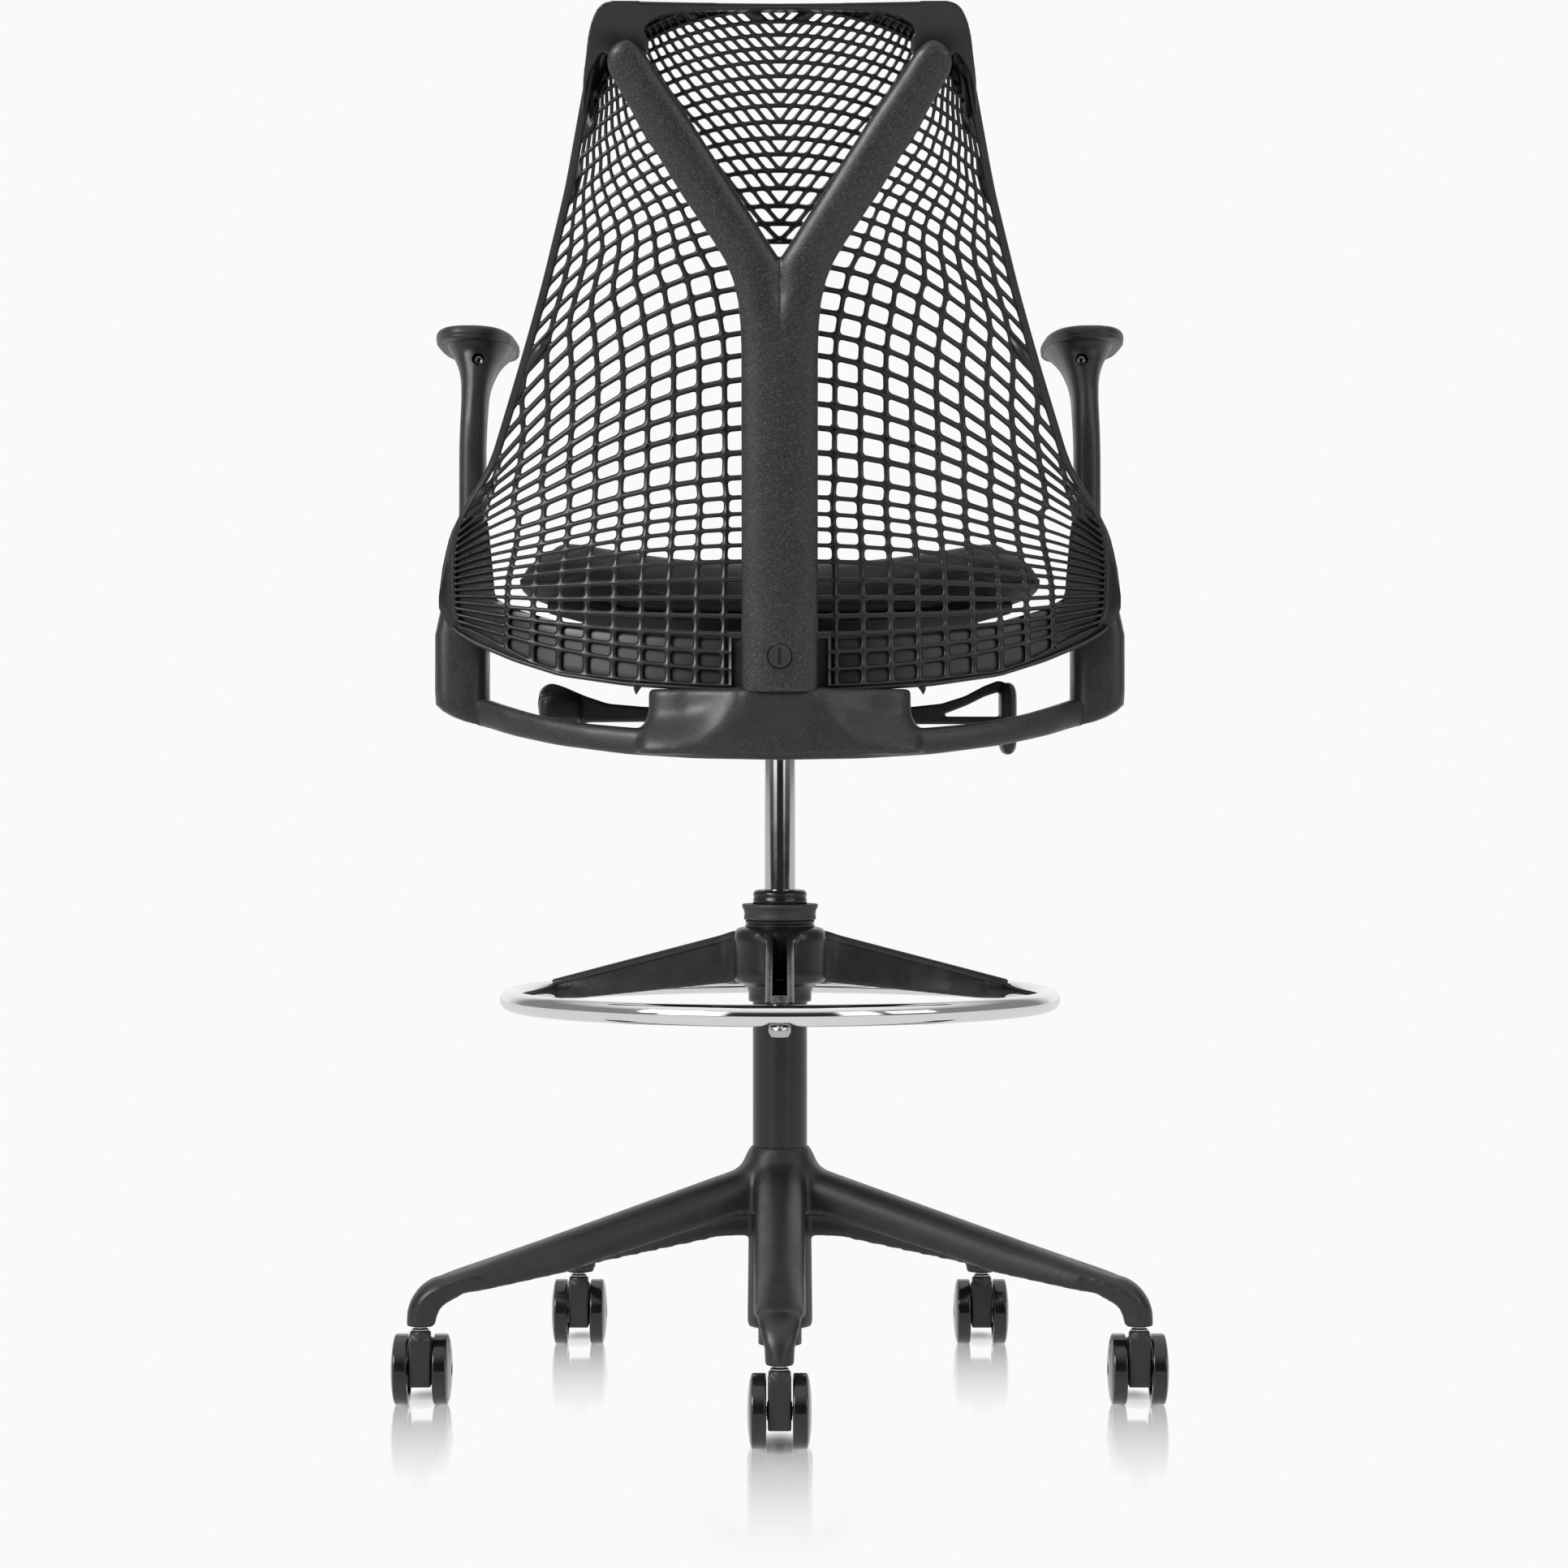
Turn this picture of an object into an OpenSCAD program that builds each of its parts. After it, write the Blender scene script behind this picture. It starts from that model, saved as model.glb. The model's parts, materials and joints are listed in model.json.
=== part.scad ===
// Drafting chair: five-star caster base, gas column with a sliding foot ring, tilt mechanism,
// upholstered seat, and an elastic lattice back held by a Y-shaped tower, with height-adjustable arms.
// Frame: origin on the floor under the column, +Z up, +Y the way the sitter faces, +X the sitter's right.

/* [Base] */
// Radius of the circle that the caster stems stand on
stem_circle_r = 338; // [325:1:345]
// Width of a leg
leg_w = 45; // [40:1:50]
// Wall of a leg and of the hub
leg_wall = 4; // [3:0.5:5]
// Height of the hub's top face
hub_top = 224; // [216:1:232]

/* [Casters] */
// Diameter of a wheel
wheel_d = 63.5; // [60:0.5:65]
// Width of a wheel
wheel_w = 16; // [14:0.5:18]
// Width of the hood between the wheels
hood_w = 19; // [17:0.5:21]
// Distance of the axle behind the stem
trail = 14; // [10:1:18]

/* [Column] */
// Outer diameter of the outer tube
tube_d = 50; // [50:1:50]
// Diameter of the gas cylinder
cylinder_d = 28; // [28:1:28]
// Height of the top of the outer tube
tube_top = 445; // [440:1:450]

/* [Foot ring] */
// Radius of the ring's centre line
ring_r = 247.5; // [235:0.5:255]
// Diameter of the ring's tube
ring_tube_d = 19.2; // [18:0.2:22]
// Height of the ring's centre line
ring_z = 359; // [356:1:362]

/* [Seat] */
// Greatest half width of the seat cushion
seat_half_w = 246; // [235:1:250]
// Height of the middle of the seat
seat_z = 748; // [744:1:752]

/* [Back] */
// Thickness of the elastic lattice
lattice_t = 4; // [3:0.5:5]
// Width of the tower's stem
stem_w = 66; // [60:1:70]
// Height of the top edge of the back
back_top = 1217; // [1214:1:1220]

/* [Arms] */
// Distance of each arm from the middle plane
arm_x = 287.5; // [285:0.5:290]
// Height of the top of an arm pad
pad_top = 967; // [965:1:970]
// Length of an arm pad
pad_l = 250; // [220:5:270]
// Width of an arm pad
pad_w = 71; // [65:1:75]

/* [Hidden] */
leg_count = 5;
$fn = 64;
fit = 0.05;         // radial clearance of a running fit
gap = 0.3;          // gap between parts that slide or lie close
black = [0.11, 0.11, 0.12];
dark = [0.2, 0.2, 0.21];
steel = [0.75, 0.76, 0.78];

// Heights and radii of the column
tube_r = tube_d / 2;
cylinder_r = cylinder_d / 2;
tube_tail_r = 20;        // reduced end below the hub
tube_bottom = 41;
hub_bottom = 57;
hub_r = 28;
hub_skirt_r = 30;
tube_taper_r = 22.5;     // tube's radius at the hub's bottom
cap_h = 13;              // height of the guide bush's cap
rod_r = 5;
piston_z = 345;
cylinder_bottom = 165;
cylinder_top = 652;
gas_bore_r = 11;

// Caster heights
wheel_r = wheel_d / 2;
stem_r = 5.5;
axle_r = 4;
socket_r = 12.75;
socket_bottom = 72;
hood_top = 68.5;
wheel_gap = 1.5;
axle_l = hood_w + 2 * wheel_gap + 22;

// Mechanism
housing_hw = 85;         // half width of the tilt housing
housing_bottom = 600;
recline_y = -40;
recline_z = 640;
recline_pin_r = 6;
seat_pivot_y = 115;
seat_pivot_z = 655;
seat_pin_r = 5;
lever_x = 70;            // trunnion distance from the middle plane
lever_y = 45;
lever_z = 640;
trunnion_r = 4;
ear_in = 88;             // inner face of the yoke's ears
ear_t = 10;

// Heights of the back's lower pieces
yoke_top = 636;
lattice_low = 648;

function at(table, v, h = 14) = (lookup(v - h, table) + 2 * lookup(v, table) + lookup(v + h, table)) / 4;
function bend(v, p) = sign(v) * pow(abs(v), p);

// Points of a rounded section, from an ellipse (p = 2) towards a rectangle
function oval(cx, cy, w, d, n = 20, p = 3) =
    [for (i = [0:n - 1]) let (a = 360 * i / n)
        [cx + w / 2 * bend(cos(a), 2 / p), cy + d / 2 * bend(sin(a), 2 / p)]];

// Points of an arc in the plane
function arc(c, r, a0, a1, n = 8) =
    [for (i = [0:n]) let (a = a0 + (a1 - a0) * i / n) [c.x + r * cos(a), c.y + r * sin(a)]];

// Closed skin through rings of equal even length, each anticlockwise seen from the far end.
// Each end is closed by strips between a ring's first half and its second half.
module skin(rings) {
    n = len(rings[0]);
    m = len(rings);
    points = [for (ring = rings) each ring];
    sides = [for (k = [0:m - 2], i = [0:n - 1]) let (j = (i + 1) % n)
        each [[k * n + i, (k + 1) * n + i, (k + 1) * n + j], [k * n + i, (k + 1) * n + j, k * n + j]]];
    last = (m - 1) * n;
    low = [for (i = [0:n / 2 - 2]) each [[i, i + 1, n - 2 - i], [i, n - 2 - i, n - 1 - i]]];
    high = [for (f = low) [last + f[2], last + f[1], last + f[0]]];
    polyhedron(points, concat(low, sides, high), convexity = 8);
}

module pipe(r_out, r_in, z0, z1) {
    translate([0, 0, z0]) difference() {
        cylinder(r = r_out, h = z1 - z0);
        translate([0, 0, -1]) cylinder(r = r_in, h = z1 - z0 + 2);
    }
}

// Exact rectangle with round corners, in the plane
module round_rect(w, d, r) {
    square([w - 2 * r, d], center = true);
    square([w, d - 2 * r], center = true);
    for (x = [-1, 1], y = [-1, 1]) translate([x * (w / 2 - r), y * (d / 2 - r)]) circle(r);
}

// Lies an (y, z) outline across X, from x0 to x1
module across(x0, x1) {
    translate([x0, 0, 0]) rotate([90, 0, 90]) linear_extrude(x1 - x0) children();
}

// Lies an (x, z) outline along Y, from y0 to y1
module along_y(y0, y1) {
    translate([0, y1, 0]) rotate([90, 0, 0]) linear_extrude(y1 - y0) children();
}

module x_rod(r, x0, x1, y, z) {
    translate([x0, y, z]) rotate([0, 90, 0]) cylinder(r = r, h = x1 - x0);
}

module y_rod(r, y0, y1, x, z) {
    translate([x, y1, z]) rotate([90, 0, 0]) cylinder(r = r, h = y1 - y0);
}

module at_leg(i) { rotate(-90 + 360 / leg_count * i) translate([stem_circle_r, 0, 0]) children(); }

// ---- Base -------------------------------------------------------------------------------------

leg_slope = 17.4;
leg_top = hub_top - 1;
leg_root = [hub_r + 15, leg_top - 21];
tip_r = 42;
tip_c = [stem_circle_r - 29.3, 76];

function leg_top_line(r) = leg_root.y - tan(leg_slope) * (r - leg_root.x);

module leg_side() {
    polygon(concat([[0, leg_top]], arc([hub_r + 21.5, leg_top], 22, 180, 270 - leg_slope),
        arc(tip_c, tip_r, 90 - leg_slope, 0),
        [[stem_circle_r + socket_r - 0.05, socket_bottom], [stem_circle_r - socket_r, socket_bottom],
         [stem_circle_r - socket_r, 86], [stem_circle_r - 20, 93], [303, 101], [205, 118], [182, 126],
         [48, 163], [0, 163]]));
}

module leg_plan() {
    polygon([[0, -leg_w / 2], [stem_circle_r - 44, -leg_w / 2], [stem_circle_r - 14, -socket_r],
        [stem_circle_r, -socket_r], [stem_circle_r, socket_r], [stem_circle_r - 14, socket_r],
        [stem_circle_r - 44, leg_w / 2], [0, leg_w / 2]]);
    translate([stem_circle_r, 0]) circle(socket_r);
}

module leg() {
    inside = leg_w - 2 * leg_wall;
    rib = 6;
    difference() {
        intersection() {
            rotate([90, 0, 0]) linear_extrude(leg_w + 2, center = true) leg_side();
            translate([0, 0, hub_bottom]) linear_extrude(hub_top) leg_plan();
        }
        rotate([90, 0, 0]) linear_extrude(inside, center = true)
            polygon([[34, leg_top_line(34) - 16], [stem_circle_r - 46, leg_top_line(stem_circle_r - 46) - 5],
                [stem_circle_r - 46, 90], [34, 90]]);
    }
    rotate([90, 0, 0]) linear_extrude(rib, center = true)
        polygon([[26, 142], [57, 142], [205, 119], [stem_circle_r - 44, 104],
            [stem_circle_r - 44, 119], [26, 196]]);
}

module base_casting() color(black) difference() {
    union() {
        for (i = [0:leg_count - 1]) rotate(-90 + 360 / leg_count * i) leg();
        translate([0, 0, hub_bottom]) cylinder(r1 = hub_skirt_r, r2 = hub_r, h = hub_top - hub_bottom);
    }
    translate([0, 0, hub_bottom]) cylinder(r1 = tube_taper_r, r2 = tube_r, h = hub_top - hub_bottom);
    translate([0, 0, hub_bottom - 1]) cylinder(r = tube_taper_r, h = 1.5);
    translate([0, 0, hub_top - 0.5]) cylinder(r = tube_r, h = 2);
    for (i = [0:leg_count - 1]) at_leg(i)
        translate([0, 0, socket_bottom - 1]) cylinder(r = stem_r + fit, h = 27);
}

// ---- Casters ----------------------------------------------------------------------------------

module caster_hood(i) color(black) at_caster(i) difference() {
    union() {
        intersection() {
            across(-hood_w / 2, hood_w / 2) union() {
                translate([trail, wheel_r]) circle(29);
                translate([-9, wheel_r + 8]) square([20, 25]);
            }
            translate([-hood_w, -60, 22]) cube([2 * hood_w, 120, 42]);
        }
        translate([0, 0, 52]) cylinder(r = hood_w / 2, h = hood_top - 52);
    }
    translate([0, 0, 48]) cylinder(r = stem_r + 0.02, h = 30);
    x_rod(axle_r + 0.02, -hood_w, hood_w, trail, wheel_r);
}

module caster_pins(i) color(steel) at_caster(i) {
    translate([0, 0, 48]) cylinder(r = stem_r, h = 48);
    translate([0, 0, hood_top]) cylinder(r = 8, h = 1.6);
    x_rod(axle_r, -axle_l / 2, axle_l / 2, trail, wheel_r);
}

// The stem stays put while every caster trails the same way
module at_caster(i) {
    a = -90 + 360 / leg_count * (i - 1);
    translate([stem_circle_r * cos(a), stem_circle_r * sin(a), 0]) children();
}

// Wheel whose inner face is at x = 0 and whose outer face is domed
module wheel_solid() {
    shoulder = wheel_w - 4.5;
    rotate([0, 90, 0]) rotate_extrude() difference() {
        polygon(concat([[0, 0], [wheel_r - 1.5, 0], [wheel_r, 1.5], [wheel_r, shoulder - 2],
            [wheel_r - 1.2, shoulder], [wheel_r * 0.8, wheel_w - 2], [wheel_r * 0.45, wheel_w - 0.4], [0, wheel_w]]));
        translate([0, -1]) square([axle_r + fit, 12.5]);
        translate([11, -1]) square([13, 4]);
    }
}

module wheel(i, side) color(black) at_caster(i)
    translate([side * (hood_w / 2 + wheel_gap), trail, wheel_r]) mirror([side < 0 ? 1 : 0, 0, 0]) wheel_solid();

// ---- Column -----------------------------------------------------------------------------------

module column_tube() color(black) rotate_extrude() polygon([[tube_r, tube_top], [tube_r, hub_top],
    [tube_taper_r, hub_bottom], [tube_tail_r, hub_bottom - 1], [tube_tail_r, tube_bottom], [14, tube_bottom],
    [14, 46], [rod_r + fit, 46], [rod_r + fit, 52], [19, 52], [19, 228], [22, 236], [22, tube_top]]);

module guide_bush() color(dark) rotate_extrude() polygon([[cylinder_r + fit, 360], [22, 360], [22, tube_top],
    [tube_r + 0.2, tube_top], [tube_r + 0.2, tube_top + 8], [tube_r - 0.5, tube_top + cap_h - 2],
    [tube_r - 3, tube_top + cap_h], [cylinder_r + fit, tube_top + cap_h]]);

module thrust_bearing() color(steel) rotate_extrude() difference() {
    translate([rod_r + 1, 52]) square([9, 8]);
    translate([rod_r + 1, 55.5]) square([1, 1]);
    translate([rod_r + 9, 55.5]) square([2, 1]);
}

module retaining_clip() color(steel) pipe(9, rod_r - 0.8, 43.5, 45.7);

module piston_rod() color(steel) {
    difference() {
        translate([0, 0, 42]) cylinder(r = rod_r, h = piston_z + 20 - 42);
        pipe(rod_r + 1, rod_r - 0.8, 43.5, 45.7);
    }
    translate([0, 0, 60]) cylinder(r = 12, h = 3);
    translate([0, 0, piston_z]) cylinder(r = gas_bore_r - fit, h = 15);
}

module gas_cylinder() color([0.3, 0.3, 0.32]) rotate_extrude() polygon([[rod_r + fit, cylinder_bottom],
    [cylinder_r - 1, cylinder_bottom], [cylinder_r, cylinder_bottom + 1], [cylinder_r, housing_bottom + 2],
    [cylinder_r - 1.2, cylinder_top], [3.05, cylinder_top], [3.05, 642], [5, 642], [5, 634], [gas_bore_r, 630],
    [gas_bore_r, cylinder_bottom + 20], [rod_r + fit, cylinder_bottom + 20]]);

module valve_button() color(steel) {
    translate([0, 0, 643]) cylinder(r = 3, h = 18.6);
    translate([0, 0, 640.5]) cylinder(r = 4.5, h = 1.2);
    translate([0, 0, 641]) cylinder(r = 3, h = 3);
}

// ---- Foot ring --------------------------------------------------------------------------------

spoke_w = 22;
spoke_wall = 3.5;
hub_bore = tube_r + gap;
ring_hub_r = 42.5;

module spoke_side(floor_h) {
    polygon([[ring_hub_r - 12, 421], [ring_hub_r + 4, 420], [ring_r, ring_z + 8],
        [ring_r, ring_z - ring_tube_d / 2 + 3], [ring_r - 30, ring_z - 7], [ring_hub_r, 374 + floor_h],
        [ring_hub_r - 12, 374 + floor_h]]);
}

module foot_ring_hub() color(black) difference() {
    union() {
        rotate_extrude() polygon([[hub_bore, 356], [28.7, 356], [28.7, 366], [31, 371], [38, 373.5],
            [ring_hub_r - 1, 375], [ring_hub_r, 377], [ring_hub_r, 418], [ring_hub_r - 4, 422], [hub_bore, 422]]);
        for (a = [-90, 30, 150]) rotate(a) difference() {
            rotate([90, 0, 0]) linear_extrude(spoke_w, center = true) spoke_side(0);
            rotate([90, 0, 0]) linear_extrude(spoke_w - 2 * spoke_wall, center = true)
                polygon([[ring_hub_r + 1, 430], [ring_r - 26, 430], [ring_r - 26, ring_z + 2], [ring_hub_r + 1, 382]]);
        }
    }
    translate([0, 0, ring_z]) rotate_extrude(convexity = 4)
        translate([ring_r, 0]) circle(ring_tube_d / 2 + 0.02);
    translate([0, 0, 350]) cylinder(r = hub_bore, h = 80);
}

module foot_ring_tube() color(steel) difference() {
    translate([0, 0, ring_z]) rotate_extrude(convexity = 4) translate([ring_r, 0]) difference() {
        circle(ring_tube_d / 2);
        circle(ring_tube_d / 2 - 1.6);
    }
    for (a = [-90, 30, 150]) rotate(a) translate([ring_r, 0, ring_z - 12]) cylinder(r = 4.02, h = 11);
}

module foot_ring_screws() color(steel) for (a = [-90, 30, 150]) rotate(a) translate([ring_r, 0, 0]) {
    translate([0, 0, ring_z - 14]) cylinder(r = 4, h = 18);
    translate([0, 0, ring_z - ring_tube_d / 2 - 8.5]) cylinder(r1 = 7, r2 = 9.5, h = 4);
    translate([0, 0, ring_z - ring_tube_d / 2 - 4.5]) cylinder(r = 9.5, h = 4.2);
}

module foot_ring_collet() color(black) rotate_extrude() polygon([[hub_bore, 422], [31, 422], [32, 424],
    [31, 425.5], [32, 427], [31, 428.5], [32, 430], [29.8, 431], [29.8, 441], [hub_bore, 443]]);

module lock_collar() color(dark) rotate_extrude() polygon([[30.1, 431.3], [34, 431.3], [35, 443.5],
    [34, 446], [26.2, 446], [26.2, 443.6], [30.1, 441.6]]);

// ---- Mechanism --------------------------------------------------------------------------------

module housing_side(inset) {
    k = inset;
    polygon([[-105 + k, 614 + k], [-62, 600 + k], [100 - k, 600 + k], [132 - k, 628 + k / 2], [132 - k, 670 - k],
        [-24 + k, 670 - k], [-30 + k, 659 - k], [-82, 656 - k], [-105 + k, 642 - k]]);
}

module tilt_housing() color(dark) difference() {
    union() {
        difference() {
            across(-housing_hw, housing_hw) housing_side(0);
            across(-housing_hw + 5, housing_hw - 5) housing_side(5);
            translate([-housing_hw + 5, -19, 655]) cube([2 * housing_hw - 10, 146, 20]);
        }
        translate([0, 0, housing_bottom + 1]) cylinder(r = 21, h = 46);
        translate([0, 85, housing_bottom + 1]) cylinder(r = 11, h = 28);
        for (s = [-1, 1]) {
            x_rod(14, s > 0 ? 76 : -housing_hw, s > 0 ? housing_hw : -76, recline_y, recline_z);
            for (y = [lever_y - 17, lever_y + 10]) translate([s * lever_x - 8, y, 602]) cube([16, 6, 47]);
        }
    }
    translate([0, 0, housing_bottom - 1]) cylinder(r = cylinder_r + 0.02, h = 60);
    translate([0, 85, housing_bottom - 1]) cylinder(r = trunnion_r + fit, h = 40);
    x_rod(recline_pin_r + 0.02, -100, 100, recline_y, recline_z);
    x_rod(seat_pin_r + 0.02, -100, 100, seat_pivot_y, seat_pivot_z);
    for (s = [-1, 1]) {
        y_rod(trunnion_r + fit, lever_y - 30, lever_y + 30, s * lever_x, lever_z);
        translate([s * 83 - 5, lever_y - 10, 608]) cube([10, 20, 48]);
    }
}

module tilt_cover() color(black) difference() {
    translate([0, 54, 670]) linear_extrude(4) round_rect(2 * housing_hw - 2, 150, 8);
    for (x = [-70, 70], y = [-14, 122]) translate([x, y, 668]) cylinder(r = 2.2, h = 8);
}

module recline_pin() color(steel)
    x_rod(recline_pin_r, -ear_in - ear_t - 3, ear_in + ear_t + 3, recline_y, recline_z);

module seat_pivot_pin() color(steel) x_rod(seat_pin_r, -99, 99, seat_pivot_y, seat_pivot_z);

module torsion_packs() color(dark) for (s = [-1, 1])
    x_rod_pipe(12.5, recline_pin_r + 0.02, s > 0 ? 26 : -74, s > 0 ? 74 : -26, recline_y, recline_z);

module x_rod_pipe(r_out, r_in, x0, x1, y, z) difference() {
    x_rod(r_out, x0, x1, y, z);
    x_rod(r_in, x0 - 1, x1 + 1, y, z);
}

// Loop handle on the sitter's right, with an inner bar that reaches the valve
module height_lever() color(black) {
    y_rod(trunnion_r, lever_y - 16, lever_y + 15, lever_x, lever_z);
    along_y(lever_y - 8, lever_y + 8) difference() {
        polygon([[lever_x - 6, lever_z - 6], [lever_x + 4, 616], [112, 611], [205, 607], [212, 612],
            [212, 640], [204, 644], [180, 632], [150, 622], [122, 620], [lever_x + 7, lever_z + 5],
            [lever_x - 6, lever_z + 6]]);
        polygon([[148, 614], [200, 611], [201, 631], [196, 633]]);
    }
    translate([212, lever_y, 577]) linear_extrude(67) round_rect(17, 44, 8);
    translate([0, 0, 661.9]) linear_extrude(4.5)
        polygon([[-6, -6], [8, -6], [lever_x + 2, lever_y - 12], [lever_x + 2, lever_y + 8],
            [lever_x - 6, lever_y + 8], [-6, 6]]);
    translate([lever_x - 6, lever_y - 8, lever_z - 4]) cube([8, 16, 28]);
}

// Flat paddle on the sitter's left
module tilt_lever() color(black) {
    y_rod(trunnion_r, lever_y - 16, lever_y + 15, -lever_x, lever_z);
    along_y(lever_y - 7, lever_y + 7) polygon([[-lever_x + 6, lever_z + 6], [-lever_x + 6, lever_z - 6],
        [-lever_x - 4, 614], [-181, 614], [-181, 609], [-224, 609], [-225, 632], [-222, 643], [-213, 649],
        [-203, 645], [-181, 635], [-160, 628.5], [-126, 627.5], [-95, 628], [-lever_x - 6, lever_z + 5]]);
    translate([-204, lever_y, 609]) linear_extrude(28) round_rect(40, 46, 6);
}

module tension_knob() color(black) {
    translate([0, 85, 581]) difference() {
        cylinder(r = 24, h = 18);
        for (a = [0:30:330]) rotate(a) translate([25.5, 0, -1]) cylinder(r = 3.5, h = 20, $fn = 24);
    }
    translate([0, 85, 598]) cylinder(r = trunnion_r, h = 30);
}

// ---- Seat -------------------------------------------------------------------------------------

seat_width = [[-164, 0.72], [-156, 0.82], [-140, 0.92], [-110, 0.98], [-40, 1], [70, 1], [160, 0.97],
    [220, 0.89], [250, 0.78], [268, 0.62]];
seat_crown = [[-164, -24], [-156, -12], [-140, -2], [-110, 3], [0, 0], [110, 2], [190, -2], [230, -12],
    [255, -28], [268, -42]];
seat_under = [[-164, -34], [-150, -40], [-110, -41], [0, -45], [110, -42], [200, -47], [250, -52], [268, -54]];
seat_ys = [-164, -158, -148, -130, -100, -50, 0, 50, 100, 150, 190, 220, 240, 256, 268];

function seat_hw(y) = seat_half_w * lookup(y, seat_width);
function seat_top(t, y) = seat_z + lookup(y, seat_crown) + 20 * pow(min(abs(t) / 0.84, 1), 2)
    - (abs(t) > 0.84 ? 24 * pow((abs(t) - 0.84) / 0.16, 2) : 0);
function seat_low(t, y) = min(seat_z + lookup(y, seat_under) + 27 * pow(abs(t), 4), seat_top(t, y) - 7);

// Section of a dished sheet across X, at one y, kept between the fractions -k and k of the width
function dish(y, k, up, down) =
    let (ts = [-1, -0.95, -0.88, -0.75, -0.55, -0.3, 0, 0.3, 0.55, 0.75, 0.88, 0.95, 1] * k)
    concat([for (t = ts) [t * seat_hw(y), y, up(t, y)]],
        [for (i = [len(ts) - 1:-1:0]) [ts[i] * seat_hw(y), y, down(ts[i], y)]]);

module seat_cushion() color([0.07, 0.07, 0.08])
    skin([for (y = seat_ys) dish(y, 1, function (t, v) seat_top(t, v), function (t, v) seat_low(t, v))]);

module seat_pan() color([0.35, 0.35, 0.36]) difference() {
    union() {
        skin([for (y = [for (v = seat_ys) if (v > -160 && v < 260) v])
            dish(y, 0.86, function (t, v) seat_low(t, v) - 0.6, function (t, v) seat_low(t, v) - 6.6)]);
        for (s = [-1, 1]) translate([s * (ear_in + 4), 0, 0]) across(-4, 4) union() {
            translate([seat_pivot_y, seat_pivot_z]) circle(14);
            polygon([[seat_pivot_y - 13, seat_pivot_z + 2], [seat_pivot_y + 13, seat_pivot_z + 2],
                [seat_pivot_y + 40, 702], [seat_pivot_y - 60, 702]]);
        }
    }
    x_rod(seat_pin_r + fit, -120, 120, seat_pivot_y, seat_pivot_z);
}

// ---- Back -------------------------------------------------------------------------------------

tower_rear = [[600, -246], [640, -250], [800, -268], [1000, -293], [1110, -318], [1184, -334], [1200, -337]];
tower_depth = [[639, 32], [900, 28], [1000, 26], [1150, 21], [1167, 19.5], [1184, 17]];
arm_out = [[930, 30], [962, 34.8], [988, 39.3], [1016, 53.3], [1059, 84], [1109, 114.5], [1158, 143.3],
    [1167, 146], [1176, 143.4], [1182, 137], [1184, 132]];
arm_in = [[930, -3], [1000, -3], [1006, 2], [1018, 10.7], [1071, 43.5], [1125, 78.9], [1158, 102.5], [1167, 108.5],
    [1176, 115], [1182, 122], [1184, 126]];

// Upright tongue of the yoke inside the tower's foot, and the bolt and cap that hold the two together
tongue_y = -236;
tongue_w = 40;
tongue_t = 14;
bolt_r = 4;
bolt_z = 668;
cap_r = 10;
pocket_y = -246;

function tower_ring(z, x0, x1, n) = let (r = at(tower_rear, z), d = lookup(z, tower_depth))
    [for (q = oval((x0 + x1) / 2, r + d / 2, x1 - x0, d, n, 2.8)) [q.x, q.y, z]];

tower_arm_z = [930, 962, 988, 1006, 1018, 1045, 1071, 1109, 1140, 1158, 1167, 1176, 1182, 1184];
module tower_arm() skin([for (z = tower_arm_z)
    tower_ring(z, lookup(z, arm_in), lookup(z, arm_out), 20)]);

module y_tower() color(black) difference() {
    union() {
        skin([for (z = [637, 680, 720, 760, 800, 840, 880, 920, 962, 985])
            tower_ring(z, -min(lookup(z, arm_out) + (z < 960 ? 40 : 0), stem_w / 2),
                min(lookup(z, arm_out) + (z < 960 ? 40 : 0), stem_w / 2), 28)]);
        tower_arm();
        mirror([1, 0, 0]) tower_arm();
    }
    translate([0, tongue_y, 666]) cube([tongue_w + 0.6, tongue_t + 0.6, 70], center = true);
    y_rod(bolt_r + 0.2, -270, -200, 0, bolt_z);
    y_rod(cap_r + 0.2, -270, pocket_y, 0, bolt_z);
}

module tower_bolt() color(steel) {
    y_rod(bolt_r, -248, -222, 0, bolt_z);
    y_rod(6.5, -249.5, pocket_y - 0.2, 0, bolt_z);
}

module tower_cap() color(dark) difference() {
    y_rod(cap_r, -254.4, -250.2, 0, bolt_z);
    translate([-1.2, -256, bolt_z - 7]) cube([2.4, 2.8, 14]);
}

// Tilt of the bow, so that it follows the lattice's top
bow_lean = 20;
bow_t = 12;

module bow_outline() polygon(concat(
    [[-164, 1158], [-128, 1150], [-112, 1166], [-112, 1180]],
    arc([-101, 1188], 14, 180, 90, 6), [[101, 1202]], arc([101, 1188], 14, 90, 0, 6),
    [[112, 1180], [112, 1166], [128, 1150], [164, 1158], [157, back_top - 10]],
    arc([145, back_top - 12], 12, 10, 90, 6), [[0, back_top - 4]],
    arc([-145, back_top - 12], 12, 90, 170, 6)));

module top_bow() color(black) intersection() {
    multmatrix([[1, 0, 0, 0], [0, 1, -tan(bow_lean), -300.5 + tan(bow_lean) * 1158], [0, 0, 1, 0]])
        along_y(-bow_t / 2, bow_t / 2) bow_outline();
    translate([-200, -400, 1100]) cube([400, 200, 130]);
}

// Mid surface of the lattice: y at a height, for t = x over the half width
lattice_mid = [[600, -215], [640, -214], [720, -206], [800, -197], [880, -196], [960, -211], [1040, -236],
    [1120, -266], [1180, -290], [1220, -306]];
lattice_edge = [[600, -128], [680, -130], [760, -134], [800, -142], [840, -152], [900, -172], [960, -196],
    [1040, -230], [1120, -264], [1180, -290], [1220, -306]];
lattice_width = [[640, 200], [655, 236], [680, 270], [700, 292], [750, 294], [778, 291], [797, 284], [838, 257],
    [883, 242], [931, 226], [991, 207], [1070, 185], [1178, 162], [1207, 150], [1212, 142]];

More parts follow.
